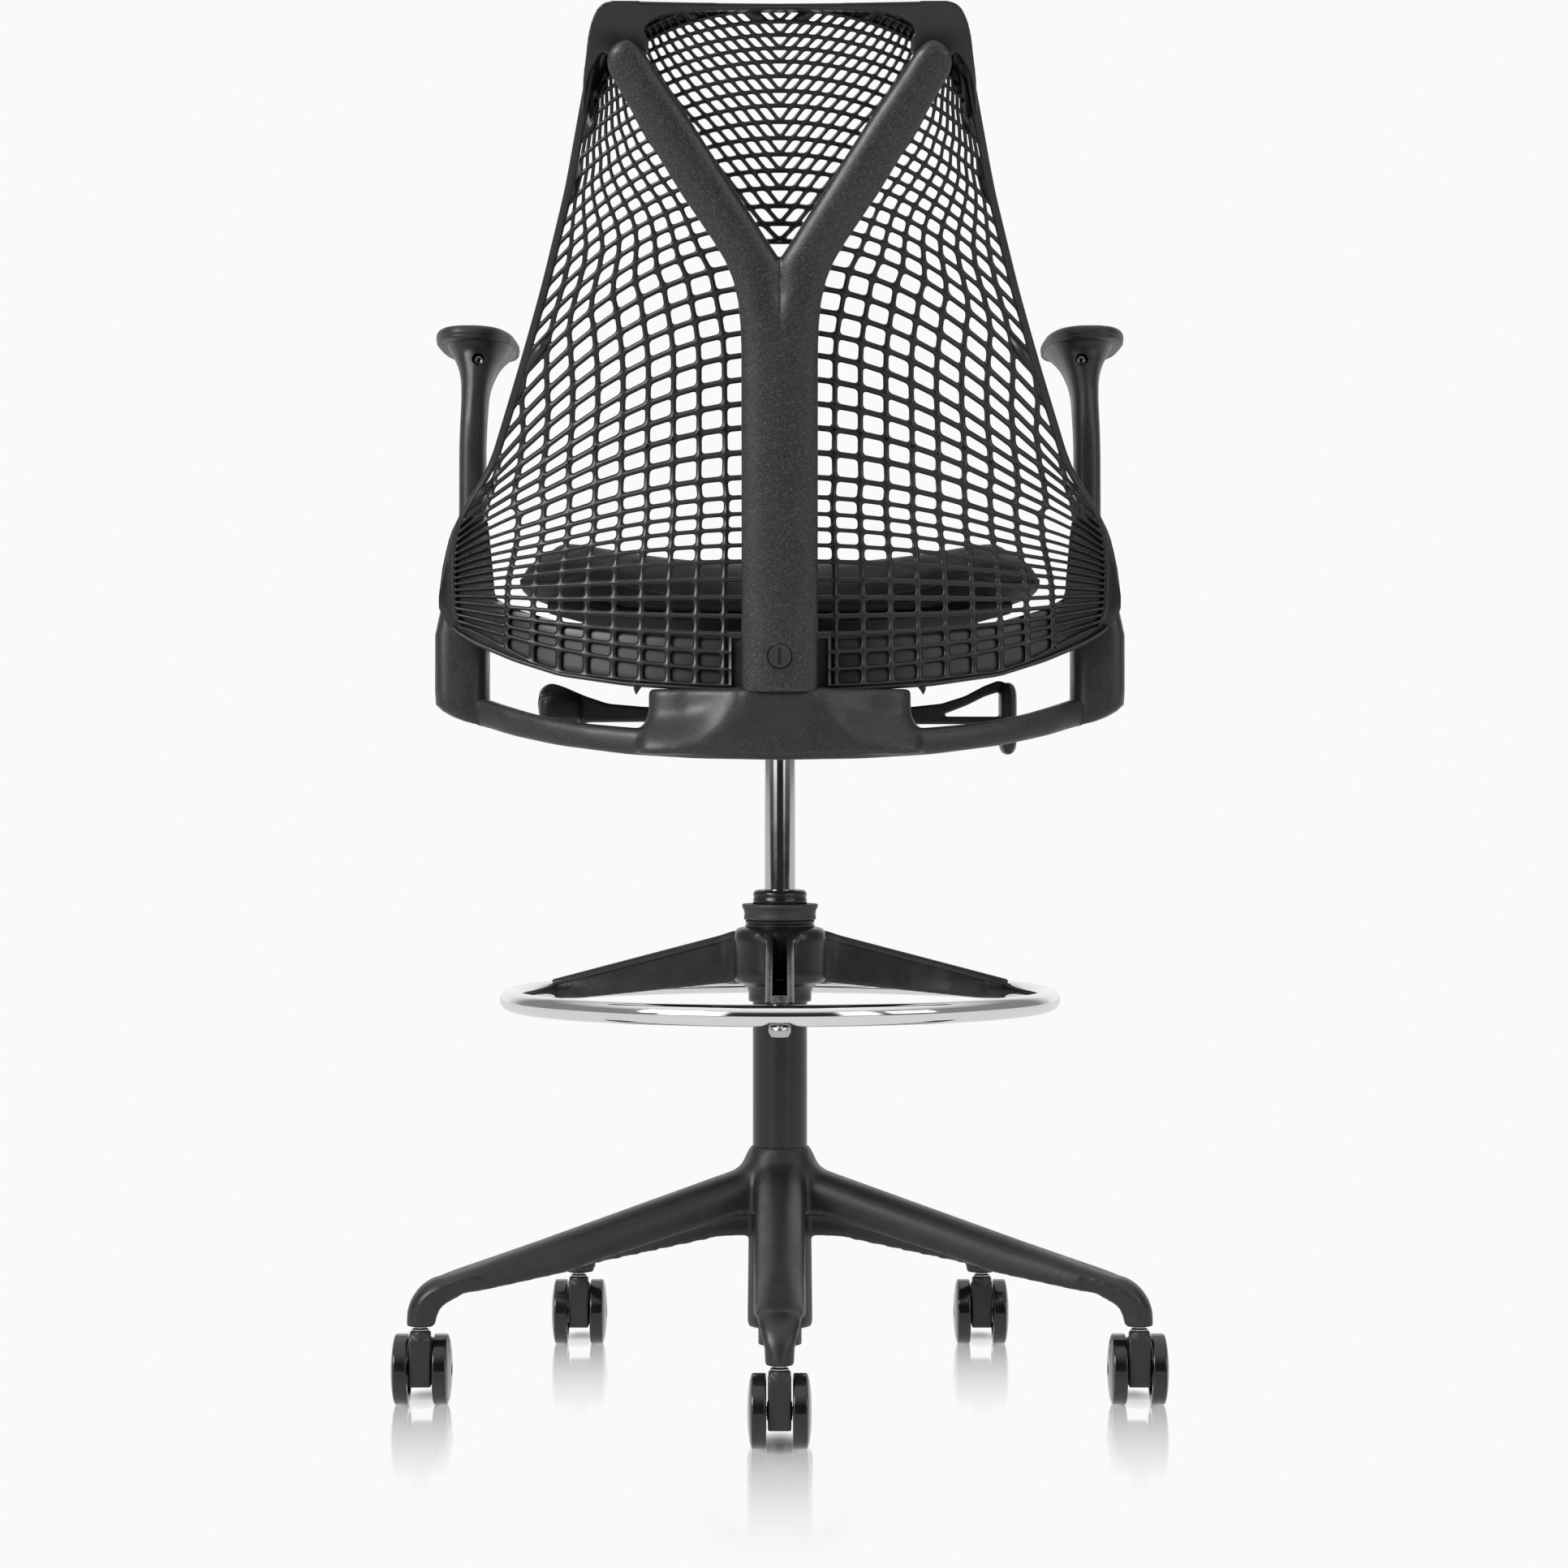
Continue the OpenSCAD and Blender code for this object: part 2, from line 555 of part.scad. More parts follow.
function lattice_hw(z) = lookup(z, lattice_width);
function lattice_y(x, z) = let (t = min(abs(x) / at(lattice_width, max(z, 700)), 1))
    at(lattice_mid, z) + (at(lattice_edge, z) - at(lattice_mid, z)) * pow(t, 2.2);

module back_lattice() color([0.13, 0.13, 0.14]) {
    zs = [648, 655, 665, 680, 690, 700, 720, 750, 778, 797, 817, 838, 860, 883, 905, 931, 960, 991, 1030, 1070,
        1110, 1145, 1178, 1195, 1205];
    ts = [-1, -0.92, -0.8, -0.62, -0.42, -0.2, 0, 0.2, 0.42, 0.62, 0.8, 0.92, 1];
    skin([for (z = zs) concat(
        [for (t = ts) [t * lattice_hw(z), lattice_y(t * lattice_hw(z), z) - lattice_t / 2, z]],
        [for (i = [len(ts) - 1:-1:0])
            [ts[i] * lattice_hw(z), lattice_y(ts[i] * lattice_hw(z), z) + lattice_t / 2, z]])]);
}

band_low = [[0, 638], [60, 638.2], [132, 643], [193, 652], [234, 665], [270, 680], [287, 690], [297, 699],
    [303, 716]];
band_high = [[0, 684], [60, 685], [132, 690], [193, 700], [234, 712], [252, 722], [257, 790], [284, 796],
    [293, 778], [300, 750], [303, 722]];
band_front = 3.3;
band_t = 5;

module lower_band() color(black) {
    xs = [303, 300, 297, 293, 287, 278, 270, 257, 252, 234, 215, 193, 165, 132, 100, 60, 30];
    all_x = concat([for (x = xs) -x], [0], [for (i = [len(xs) - 1:-1:0]) xs[i]]);
    steps = 6;
    skin([for (x = all_x) let (lo = lookup(abs(x), band_low), hi = lookup(abs(x), band_high))
        concat([for (k = [steps:-1:0]) let (z = lo + (hi - lo) * k / steps)
                [x, lattice_y(x, z) + band_front, z]],
            [for (k = [0:steps]) let (z = lo + (hi - lo) * k / steps)
                [x, lattice_y(x, z) + band_front + band_t, z]])]);
    for (s = [-1, 1]) y_rod(8, lattice_y(284, 740) + band_front + band_t / 2, sleeve_rear, s * 284, 740);
}

yoke_low = [[0, 578.8], [72, 580], [132, 583.6], [194, 591.4], [236, 600], [270, 610]];
yoke_high = [[0, 604], [124, 606.6], [169, 610.6], [215, 618.7], [250, 629], [270, 636]];
yoke_mid = [[0, -228], [60, -226], [120, -210], [170, -186], [215, -156], [245, -128], [262, -104], [270, -92]];
yoke_depth = [[0, 34], [120, 30], [245, 30], [270, 44]];

module arm_yoke() color(black) difference() {
    union() {
        skin([for (x = [-269, -258, -245, -230, -215, -192, -170, -145, -120, -90, -60, 0,
                60, 90, 120, 145, 170, 192, 215, 230, 245, 258, 269])
            let (a = abs(x), lo = lookup(a, yoke_low), hi = lookup(a, yoke_high))
            [for (q = oval(lookup(a, yoke_mid), (lo + hi) / 2, lookup(a, yoke_depth), hi - lo, 16, 3.4))
                [x, q.x, q.y]]]);
        translate([0, -221, 579]) linear_extrude(yoke_top - 579) round_rect(230, 82, 26);
        for (s = [-1, 1]) translate([s * (ear_in + ear_t / 2), 0, 0]) across(-ear_t / 2, ear_t / 2) union() {
            translate([recline_y, recline_z]) circle(15);
            polygon([[recline_y + 4, recline_z - 14.4], [recline_y - 4, recline_z + 14.4], [-186, yoke_top],
                [-186, 586], [-120, 606]]);
        }
        translate([0, tongue_y, 660]) cube([tongue_w, tongue_t, 62], center = true);
    }
    x_rod(recline_pin_r + fit, -120, 120, recline_y, recline_z);
    y_rod(bolt_r + 0.05, -260, -210, 0, bolt_z);
}

// ---- Arms -------------------------------------------------------------------------------------

sleeve_w = 43;
sleeve_d = 66;
sleeve_y = -85;
sleeve_rear = sleeve_y - sleeve_d / 2;
sleeve_top = 785;
post_x = arm_x - 11;
pad_x = arm_x - 10;
post_round = 10;
post_w = 24;
post_d = 40;
post_low = 698;
flare_z = 926;
pad_low = 955;
pad_y = sleeve_y + pad_l / 2 - 35;
screw_x = arm_x - 15.5;

module arm_side(s) { mirror([s < 0 ? 1 : 0, 0, 0]) children(); }

module arm_sleeve(s) color(black) arm_side(s) difference() {
    translate([arm_x, sleeve_y, 609]) linear_extrude(sleeve_top - 609) round_rect(sleeve_w, sleeve_d, 16);
    translate([post_x, sleeve_y, 628])
        linear_extrude(sleeve_top)
            round_rect(post_w + 2 * gap, post_d + 2 * gap, post_round + gap);
    along_y(-140, -30) polygon([[264, 600], [320, 600], [320, 634], [306, 626], [280, 613], [269.3, 609]]);
    translate([240, -140, 600]) cube([29.3, 110, 37]);
}

module arm_post(s) color(black) arm_side(s) difference() {
    union() {
        translate([post_x, sleeve_y, post_low])
            linear_extrude(flare_z + 1 - post_low)
                round_rect(post_w, post_d, post_round);
        skin([for (k = [0:5]) let (u = k / 5, v = pow(u, 2.2), z = flare_z + (pad_low - flare_z) * u)
            [for (q = oval(post_x + v, sleeve_y + 6 * v, post_w - 0.2 + 34 * v, post_d - 0.2 + 60 * v, 24, 3))
                [q.x, q.y, z]]]);
    }
    y_rod(5.5, -160, -100, screw_x, 941);
    y_rod(3.05, -101, -80, screw_x, 941);
    translate([pad_x - 7.2, sleeve_y + 8, 933]) cube([14.4, 60, 11.2]);
}

module arm_pad(s) color([0.09, 0.09, 0.1]) arm_side(s)
    translate([pad_x, pad_y, pad_low]) linear_extrude(pad_top - pad_low) round_rect(pad_w, pad_l, 32);

module arm_button(s) color(dark) arm_side(s)
    translate([pad_x - 7, sleeve_y + 14, 933.2]) cube([14, 18, 10.6]);

// ---- Assembly ---------------------------------------------------------------------------------

base_casting();
column_tube();
guide_bush();
thrust_bearing();
retaining_clip();
piston_rod();
gas_cylinder();
valve_button();
foot_ring_hub();
foot_ring_tube();
foot_ring_screws();
foot_ring_collet();
lock_collar();
tilt_housing();
tilt_cover();
recline_pin();
seat_pivot_pin();
torsion_packs();
height_lever();
tilt_lever();
tension_knob();
seat_pan();
seat_cushion();
arm_yoke();
y_tower();
tower_bolt();
tower_cap();
top_bow();
lower_band();
back_lattice();
arm_sleeve(-1);  // arm_sleeve_l
arm_sleeve(1);  // arm_sleeve_r
arm_post(-1);  // arm_post_l
arm_post(1);  // arm_post_r
arm_pad(-1);  // arm_pad_l
arm_pad(1);  // arm_pad_r
arm_button(-1);  // arm_button_l
arm_button(1);  // arm_button_r
for (i = [1:leg_count]) {
    caster_hood(i);
    caster_pins(i);
    wheel(i, -1);
    wheel(i, 1);
}
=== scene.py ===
import json
import math

import bmesh
import bpy
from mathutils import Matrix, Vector
from mathutils.bvhtree import BVHTree


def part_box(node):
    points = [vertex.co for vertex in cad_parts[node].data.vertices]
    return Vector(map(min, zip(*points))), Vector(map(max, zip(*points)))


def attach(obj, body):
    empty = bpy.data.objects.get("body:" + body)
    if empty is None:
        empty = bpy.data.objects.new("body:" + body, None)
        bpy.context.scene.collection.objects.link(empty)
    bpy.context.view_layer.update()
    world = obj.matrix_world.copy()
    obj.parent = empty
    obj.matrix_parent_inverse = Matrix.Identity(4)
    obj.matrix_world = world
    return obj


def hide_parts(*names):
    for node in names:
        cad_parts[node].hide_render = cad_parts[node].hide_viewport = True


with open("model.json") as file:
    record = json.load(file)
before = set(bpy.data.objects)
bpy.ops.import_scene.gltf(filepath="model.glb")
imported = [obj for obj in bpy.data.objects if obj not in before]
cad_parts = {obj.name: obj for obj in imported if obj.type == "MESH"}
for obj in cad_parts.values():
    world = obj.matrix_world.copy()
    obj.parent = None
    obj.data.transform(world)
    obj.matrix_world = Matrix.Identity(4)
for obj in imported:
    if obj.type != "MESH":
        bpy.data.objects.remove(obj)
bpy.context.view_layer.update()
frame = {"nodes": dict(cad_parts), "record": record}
MM = 0.001
SIDES = ((-1, "left"), (1, "right"))

# ---- Numbers and small functions; lengths are in millimetres until a mesh is made ---------------


def turn(count):
    """Angles once round a circle."""
    return [2 * math.pi * i / count for i in range(count)]


def lookup(table, v):
    """Value between the two nearest rows of a table."""
    if v <= table[0][0]:
        return table[0][1]
    for (a, fa), (b, fb) in zip(table, table[1:]):
        if v <= b:
            return fa + (fb - fa) * (v - a) / (b - a)
    return table[-1][1]


def at(table, v, h=14):
    """Table value with its corners rounded over a distance h."""
    return (lookup(table, v - h) + 2 * lookup(table, v) + lookup(table, v + h)) / 4


def step(a, b, x):
    t = min(max((x - a) / (b - a), 0), 1)
    return t * t * (3 - 2 * t)


def mix(a, b, t):
    return a + (b - a) * t


def span(a, b, n):
    return [a + (b - a) * i / n for i in range(n + 1)]


# ---- Materials ----------------------------------------------------------------------------------


def feed(tree, n, inputs):
    """Sets inputs of a node, each to a number, a colour or the output of another node."""
    for key, value in inputs.items():
        if isinstance(value, bpy.types.NodeSocket):
            tree.links.new(value, n.inputs[key])
        else:
            n.inputs[key].default_value = value
    return n


def node(tree, kind, inputs, **settings):
    n = tree.nodes.new(kind)
    for key, value in settings.items():
        setattr(n, key, value)
    return feed(tree, n, inputs)


def maths(tree, operation, a, b=None):
    inputs = {0: a} if b is None else {0: a, 1: b}
    return node(tree, "ShaderNodeMath", inputs, operation=operation).outputs[0]


def coordinates(tree, kind="Object"):
    return node(tree, "ShaderNodeTexCoord", {}).outputs[kind]


def axes(tree, kind="Object"):
    return node(tree, "ShaderNodeSeparateXYZ", {"Vector": coordinates(tree, kind)}).outputs


def noise(tree, scale, detail=3.0):
    inputs = {"Scale": scale, "Detail": detail, "Roughness": 0.6, "Vector": coordinates(tree)}
    return node(tree, "ShaderNodeTexNoise", inputs).outputs["Fac"]


def ranged(tree, value, low, high, start=0.0, end=1.0):
    """Takes start to low and end to high, and holds the value beyond them."""
    inputs = {"Value": value, "From Min": start, "From Max": end, "To Min": low, "To Max": high}
    return node(tree, "ShaderNodeMapRange", inputs).outputs["Result"]


def blended(tree, a, b, factor, kind="RGBA"):
    return node(tree, "ShaderNodeMix", {"A": a, "B": b, "Factor": factor}, data_type=kind).outputs["Result"]


def grey(tone, blue):
    return tone, tone, blue, 1


def nodes_of(name):
    mat = bpy.data.materials.new(name)
    mat.use_nodes = True
    return mat, mat.node_tree, mat.node_tree.nodes["Principled BSDF"]


def mottled_colour(tree, base, edge_colour, grain, amount):
    """Colour with slow mottling, a little lighter along raised edges."""
    pointed = node(tree, "ShaderNodeNewGeometry", {}).outputs["Pointiness"]
    colour = blended(tree, base, edge_colour, ranged(tree, pointed, 0.0, amount, 0.515, 0.6))
    tone = ranged(tree, noise(tree, grain, 4.0), 0.82, 1.18, 0.3, 0.7)
    return node(tree, "ShaderNodeVectorMath", {"Vector": colour, "Scale": tone}, operation="SCALE").outputs[0]


def bump(tree, height, strength, distance):
    inputs = {"Height": height, "Strength": strength, "Distance": distance}
    return node(tree, "ShaderNodeBump", inputs).outputs["Normal"]


def plastic(name, tone, rough=0.42, grain=2600.0, strength=0.25, specular=0.5, coat=0.0, painted_glints=0.0):
    """Moulded or painted finish with a fine grain; where asked for, pale flecks are painted into the colour
    as glints on the grain.
    """
    mat, tree, shader = nodes_of(name)
    colour = mottled_colour(tree, grey(tone, tone * 1.03), grey(tone * 2.2, tone * 2.25), 22.0, 0.7)
    # Painted glints: scattered pale flecks in the colour stand in for light glinting off the grain.
    if painted_glints:
        share = ranged(tree, noise(tree, 750.0, 1.0), 0.0, 1.0, 0.48, 0.72)
        colour = blended(tree, colour, grey(tone * painted_glints, tone * painted_glints), share)
    feed(tree, shader, {
        "Base Color": colour,
        "Roughness": ranged(tree, noise(tree, 45.0), rough - 0.05, rough + 0.06, 0.3, 0.7),
        "Normal": bump(tree, noise(tree, grain, 2.0), strength, 0.00012),
        "Specular IOR Level": specular, "Coat Weight": coat, "Coat Roughness": 0.12})
    return mat


def metal(name, tone, rough, brushed=0.02):
    mat, tree, shader = nodes_of(name)
    slow = noise(tree, 30.0, 4.0)
    feed(tree, shader, {
        "Metallic": 1.0,
        "Base Color": blended(tree, grey(tone * 0.94, tone * 0.95), grey(tone, tone * 1.01), slow),
        "Roughness": ranged(tree, slow, rough, rough + 0.05, 0.3, 0.8),
        "Normal": bump(tree, noise(tree, 900.0, 2.0), brushed, 0.00005)})
    return mat


def knit(name, tone):
    """Tight ribbed upholstery: fine lines run front to back, crossed by short stitches. Its colour carries
    painted shade in the grooves and painted highlight on the ridges.
    """
    mat, tree, shader = nodes_of(name)
    axis = axes(tree)

    def wave(source, per_metre, power=1.0):
        turned = maths(tree, "MULTIPLY", source, per_metre * 2 * math.pi)
        return ranged(tree, maths(tree, "SINE", turned), 0.0, power, -1.0, 1.0)

    both = maths(tree, "ADD", wave(axis["X"], 400.0), wave(axis["Y"], 520.0, 0.45))
    # Painted shade and highlight: darker in the grooves and lighter on the ridges that the bump below raises.
    light = ranged(tree, both, 0.0, 1.0, 0.0, 1.45)
    feed(tree, shader, {
        "Base Color": blended(tree, grey(tone * 0.45, tone * 0.47), grey(tone * 1.5, tone * 1.55), light),
        "Roughness": ranged(tree, noise(tree, 60.0), 0.78, 0.92, 0.3, 0.7),
        "Normal": bump(tree, maths(tree, "ADD", both, noise(tree, 1400.0)), 0.55, 0.0004),
        "Sheen Weight": 0.25, "Sheen Roughness": 0.5, "Specular IOR Level": 0.25})
    return mat


def soft_skin(name, tone):
    """Leather-like moulded skin with rounded pores."""
    mat, tree, shader = nodes_of(name)
    pores = node(tree, "ShaderNodeTexVoronoi", {"Scale": 900.0, "Vector": coordinates(tree)})
    feed(tree, shader, {
        "Base Color": mottled_colour(tree, grey(tone, tone * 1.03), grey(tone * 1.8, tone * 1.85), 30.0, 0.5),
        "Roughness": ranged(tree, noise(tree, 50.0), 0.42, 0.55, 0.3, 0.7),
        "Normal": bump(tree, pores.outputs["Distance"], 0.25, 0.00025)})
    return mat


# Name, tone, roughness, grain to the metre and its strength; a metal has no grain
materials = {
    "base_plastic": plastic("star_nylon", 0.013, 0.38, 1500.0, 0.35),
    "column_paint": plastic("column_paint_black", 0.009, 0.22, 1500.0, 0.02),
    "cap_plastic": plastic("bush_plastic", 0.010, 0.22, 1800.0, 0.02),
    "bright_steel": metal("zinc_steel", 0.55, 0.22),
    "dark_chrome": metal("cylinder_chrome", 0.55, 0.06, brushed=0.004),
    "ring_plastic": plastic("spider_gloss", 0.009, 0.25, 1500.0, 0.02),
    "ring_chrome": metal("hoop_chrome", 0.80, 0.05, brushed=0.004),
    "collar_plastic": plastic("collar_matte", 0.028, 0.50, 2200.0),
    "housing_metal": plastic("housing_coat", 0.014, 0.5, 1600.0, 0.3),
    "cover_plastic": plastic("cover_black", 0.014, 0.42, 2200.0, 0.2),
    "torsion_rubber": plastic("torsion_rubber_black", 0.02, 0.7, 1200.0, 0.3),
    "handle_plastic": plastic("handle_black", 0.013, 0.36, 2200.0, 0.15),
    "pan_plastic": plastic("pan_dark", 0.007, 0.8, 2200.0, specular=0.06),
    "seat_fabric": knit("ribbed_upholstery", 0.012),
    "yoke_metal": plastic("yoke_black", 0.014, 0.42, 1500.0, 0.5, painted_glints=2.6),
    "tower_plastic": plastic("tower_grained", 0.013, 0.38, 1000.0, 0.8, painted_glints=4.6),
    "band_plastic": plastic("band_satin", 0.012, 0.34, 2400.0, 0.15),
    "lattice_elastomer": plastic("lattice_soft", 0.008, 0.36, 2600.0, 0.1),
    "arm_plastic": plastic("arm_satin", 0.015, 0.40, 1800.0, 0.35, painted_glints=2.2),
    "pad_skin": soft_skin("pad_skin_black", 0.014),
    "hood_plastic": plastic("hood_satin", 0.016, 0.42, 1500.0, 0.5),
    "wheel_plastic": plastic("wheel_gloss", 0.006, 0.16, 1800.0, 0.02, coat=0.3),
}

for part in frame["record"]["subparts"]:
    for material_slot in frame["nodes"][part["node"]].material_slots:
        material_slot.material = materials[part["material_slot"]]

# ---- Mesh helpers -------------------------------------------------------------------------------


def placed(name, data):
    obj = bpy.data.objects.new(name, data)
    bpy.context.scene.collection.objects.link(obj)
    return obj


def smooth(mesh):
    for polygon in mesh.polygons:
        polygon.use_smooth = True


def piece(name, shape, slot, body, replaces=(), sharp=None):
    """Makes a mesh from (points in mm, faces), gives it a finish and puts it on a body."""
    points, faces = shape
    mesh = bpy.data.meshes.new(name)
    mesh.from_pydata([(x * MM, y * MM, z * MM) for x, y, z in points], [], faces)
    bm = bmesh.new()
    bm.from_mesh(mesh)
    bmesh.ops.remove_doubles(bm, verts=bm.verts, dist=1e-6)
    bmesh.ops.recalc_face_normals(bm, faces=bm.faces)
    bm.to_mesh(mesh)
    bm.free()
    mesh.validate()
    smooth(mesh)
    if sharp:
        mesh.set_sharp_from_angle(angle=math.radians(sharp))
    obj = placed(name, mesh)
    mesh.materials.append(materials[slot])
    if body:
        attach(obj, body)
    if replaces:
        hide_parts(*replaces)
    return obj


def merged(*shapes):
    points, faces = [], []
    for p, f in shapes:
        base = len(points)
        points += p
        faces += [tuple(i + base for i in face) for face in f]
    return points, faces


def moved(shape, dx=0, dy=0, angle=0.0):
    """Turned about the vertical axis, then moved."""
    c, s = math.cos(angle), math.sin(angle)
    return [(x * c - y * s + dx, x * s + y * c + dy, z) for x, y, z in shape[0]], shape[1]


def mirrored(shape):
    return [(-x, y, z) for x, y, z in shape[0]], [tuple(reversed(f)) for f in shape[1]]


def loft(rings, closed=False):
    """Skin through a row of rings, capped at its ends or closed on itself."""
    n = len(rings[0])
    points = [p for ring in rings for p in ring]
    faces = []
    for k in range(len(rings) if closed else len(rings) - 1):
        m = (k + 1) % len(rings)
        for i in range(n):
            j = (i + 1) % n
            faces.append((k * n + i, k * n + j, m * n + j, m * n + i))
    if not closed:
        faces.append(tuple(range(n)))
        faces.append(tuple((len(rings) - 1) * n + i for i in reversed(range(n))))
    return points, faces


def lathe(profile, count=72, cx=0.0, cy=0.0):
    """Closed outline of (radius, height) turned about a vertical line."""
    n = len(profile)
    points, faces = [], []
    for k in range(count):
        a = 2 * math.pi * k / count
        points += [(cx + r * math.cos(a), cy + r * math.sin(a), z) for r, z in profile]
    for k in range(count):
        m = (k + 1) % count
        for i in range(n):
            j = (i + 1) % n
            faces.append((k * n + i, m * n + i, m * n + j, k * n + j))
    return points, faces


def rod(radius, low, high, count):
    return lathe([(0.01, low), (radius, low), (radius, high), (0.01, high)], count)


def along_y(shape, x, y, z):
    """Lays a shape made about the vertical along Y, its foot towards the rear."""
    return [(x + a, y + c, z - b) for a, b, c in shape[0]], shape[1]


def round_corners(outline, radius, count=5):
    """Outline with each corner replaced by a soft curve."""
    out = []
    n = len(outline)
    for i, corner in enumerate(outline):
        c = Vector(corner)
        p, q = Vector(outline[i - 1]) - c, Vector(outline[(i + 1) % n]) - c
        a = c + p.normalized() * min(radius, p.length * 0.49)
        b = c + q.normalized() * min(radius, q.length * 0.49)
        for t in span(0, 1, count):
            out.append(tuple(a * (1 - t) ** 2 + c * 2 * t * (1 - t) + b * t * t))
    return out


def facing_y(u, v, depth):
    return u, depth, v


def facing_z(u, v, depth):
    return u, v, depth


def slab(outline, low, high, place=facing_y):
    """Outline pushed between two depths; place(u, v, depth) gives the point."""
    n = len(outline)
    points = [place(u, v, low) for u, v in outline] + [place(u, v, high) for u, v in outline]
    faces = [tuple(range(n)), tuple(reversed(range(n, 2 * n)))]
    faces += [(i, (i + 1) % n, n + (i + 1) % n, n + i) for i in range(n)]
    return points, faces


def baked(obj, *modifiers):
    """Applies modifiers given as (type, settings) and keeps the object."""
    for kind, settings in modifiers:
        m = obj.modifiers.new(kind.lower(), kind)
        for key, value in settings.items():
            setattr(m, key, value)
    graph = bpy.context.evaluated_depsgraph_get()
    mesh = bpy.data.meshes.new_from_object(obj.evaluated_get(graph))
    obj.modifiers.clear()
    obj.data = mesh
    smooth(mesh)
    return obj


def bevelled(obj, width, segments=3, angle=35, sharp=40):
    baked(obj, ("BEVEL", {"width": width * MM, "segments": segments, "limit_method": "ANGLE",
                          "angle_limit": math.radians(angle), "use_clamp_overlap": True}))
    obj.data.set_sharp_from_angle(angle=math.radians(sharp))
    return obj


def fused(obj, voxel, smooth=6, factor=0.5):
    """Joins overlapping closed shapes into one skin with small fillets between them."""
    return baked(obj, ("REMESH", {"mode": "VOXEL", "voxel_size": voxel * MM}),
                 ("SMOOTH", {"iterations": smooth, "factor": factor}))


def carved(obj, shape):
    """Cuts one closed shape out of a piece."""
    tool = piece("tool", shape, "arm_plastic", None)
    cut = obj.modifiers.new("cut", "BOOLEAN")
    cut.operation, cut.object, cut.solver = "DIFFERENCE", tool, "EXACT"
    baked(obj)
    bpy.data.objects.remove(tool)


def oval(cx, cy, w, d, n, power):
    """Ring of n points, from an ellipse at power 2 to nearly a rectangle at high powers."""
    ring = []
    for i in range(n):
        a = 2 * math.pi * i / n
        c, s = math.cos(a), math.sin(a)
        ring.append((cx + w / 2 * math.copysign(abs(c) ** (2 / power), c),
                     cy + d / 2 * math.copysign(abs(s) ** (2 / power), s)))
    return ring


# ---- Back: the lattice --------------------------------------------------------------------------

LATTICE_MID = [(600, -215), (640, -214), (720, -206), (800, -197), (880, -196), (960, -211), (1040, -236),
               (1120, -266), (1180, -290), (1220, -306)]
LATTICE_EDGE = [(600, -128), (680, -130), (760, -134), (800, -142), (840, -152), (900, -172), (960, -196),
                (1040, -230), (1120, -264), (1180, -290), (1220, -306)]
LATTICE_WIDTH = [(640, 200), (655, 236), (680, 270), (700, 292), (750, 294), (778, 291), (797, 284),
                 (838, 257), (883, 242), (931, 226), (991, 207), (1070, 185), (1178, 162), (1207, 150),
                 (1212, 142)]
ROW_Z = [(0, 642.5), (1, 656), (3, 687), (5, 720), (7, 752), (9, 780.5), (10, 794), (11, 808.6), (12, 826),
         (14, 870), (15, 891), (17, 933), (21, 1009), (22, 1027), (26, 1085), (30, 1137.5), (33, 1172.7),
         (36, 1204.3), (45, 1290)]
ROW_BEND = [(0, -0.00036), (1, -0.00054), (3, -0.0003), (5, 0), (7, 0.00022), (9, 0.0005), (11, 0.00071),
            (12, 0.00088), (13, 0.00105), (14, 0.0013), (15, 0.0015), (17, 0.0019), (25, 0.002),
            (30, 0.00203), (33, 0.0018), (36, 0.0016), (45, 0.0014)]
# Upper rows start further and further out, so that the lines lean away from the middle
ROW_SHIFT = [(0, 0), (11, 0), (12, 0.1), (13, 0.1), (16, 0.17), (17, 0.2), (18, 0.3), (19, 0.48), (20, 0.7),
             (21, 1), (45, 25)]
SPACING = [(650, 24.4), (742, 24.1), (820, 22.9), (925, 22.05), (960, 21.3), (985, 20.9), (1009, 20),
           (1027, 16.7), (1041, 14.5), (1056, 13), (1070, 12.05), (1110, 10.8), (1204, 10.2)]
SQUEEZE = [(900, 0.05), (985, 0.2), (1023, 0.42), (1061, 0.48), (1085, 0.5), (1134, 0.6), (1172, 0.68)]
RIM_LINE = [(800, 11.9), (820, 11.5), (850, 10.9), (885, 10.3), (925, 9.95), (985, 9.85), (1023, 9.95),
            (1210, 10)]
# Rows below EAR_ROWS rise beside the ears in even steps, and their last cell, EAR_CELL, ends at EAR_TIP
EAR_X, EAR_Z, EAR_PITCH, EAR_ROWS = 289, 697.75, 5.25, 17
EAR_CELL, MOST_CELLS, EAR_TIP = 10, 60, 302
# First row without ears, first rows whose rim cells or all cells are closed, and how many rows there are
RIM_ROW, RIM_BLIND_ROW, BLIND_ROW, ROW_COUNT = 14, 33, 37, 43
LATTICE_TOP = 1213
TAB_X, SHORTEST = 42, 0.6
SAMPLE, REACH = 2.0, 320


def lattice_y(x, z):
    t = min(abs(x) / at(LATTICE_WIDTH, max(z, 700)), 1)
    mid = at(LATTICE_MID, z)
    return mid + (at(LATTICE_EDGE, z) - mid) * t ** 2.2


def edge_x(z):
    return at(LATTICE_WIDTH, max(z, 705)) - mix(5, 7, step(780, 830, z))


def row_z(i, x):
    x = abs(x)
    centre, bend = lookup(ROW_Z, i), lookup(ROW_BEND, i)
    z = centre - bend * x * x
    ear = EAR_Z + EAR_PITCH * i - (centre - bend * EAR_X ** 2)
    z += ear * step(190, EAR_X, x) * step(EAR_ROWS + 3, EAR_ROWS, i)
    droop = 16 if i >= BLIND_ROW - 1 else 13
    return z - droop * min(x / at(LATTICE_WIDTH, max(z, 700)), 1.2) ** 4 * step(EAR_ROWS, EAR_ROWS + 3, i)


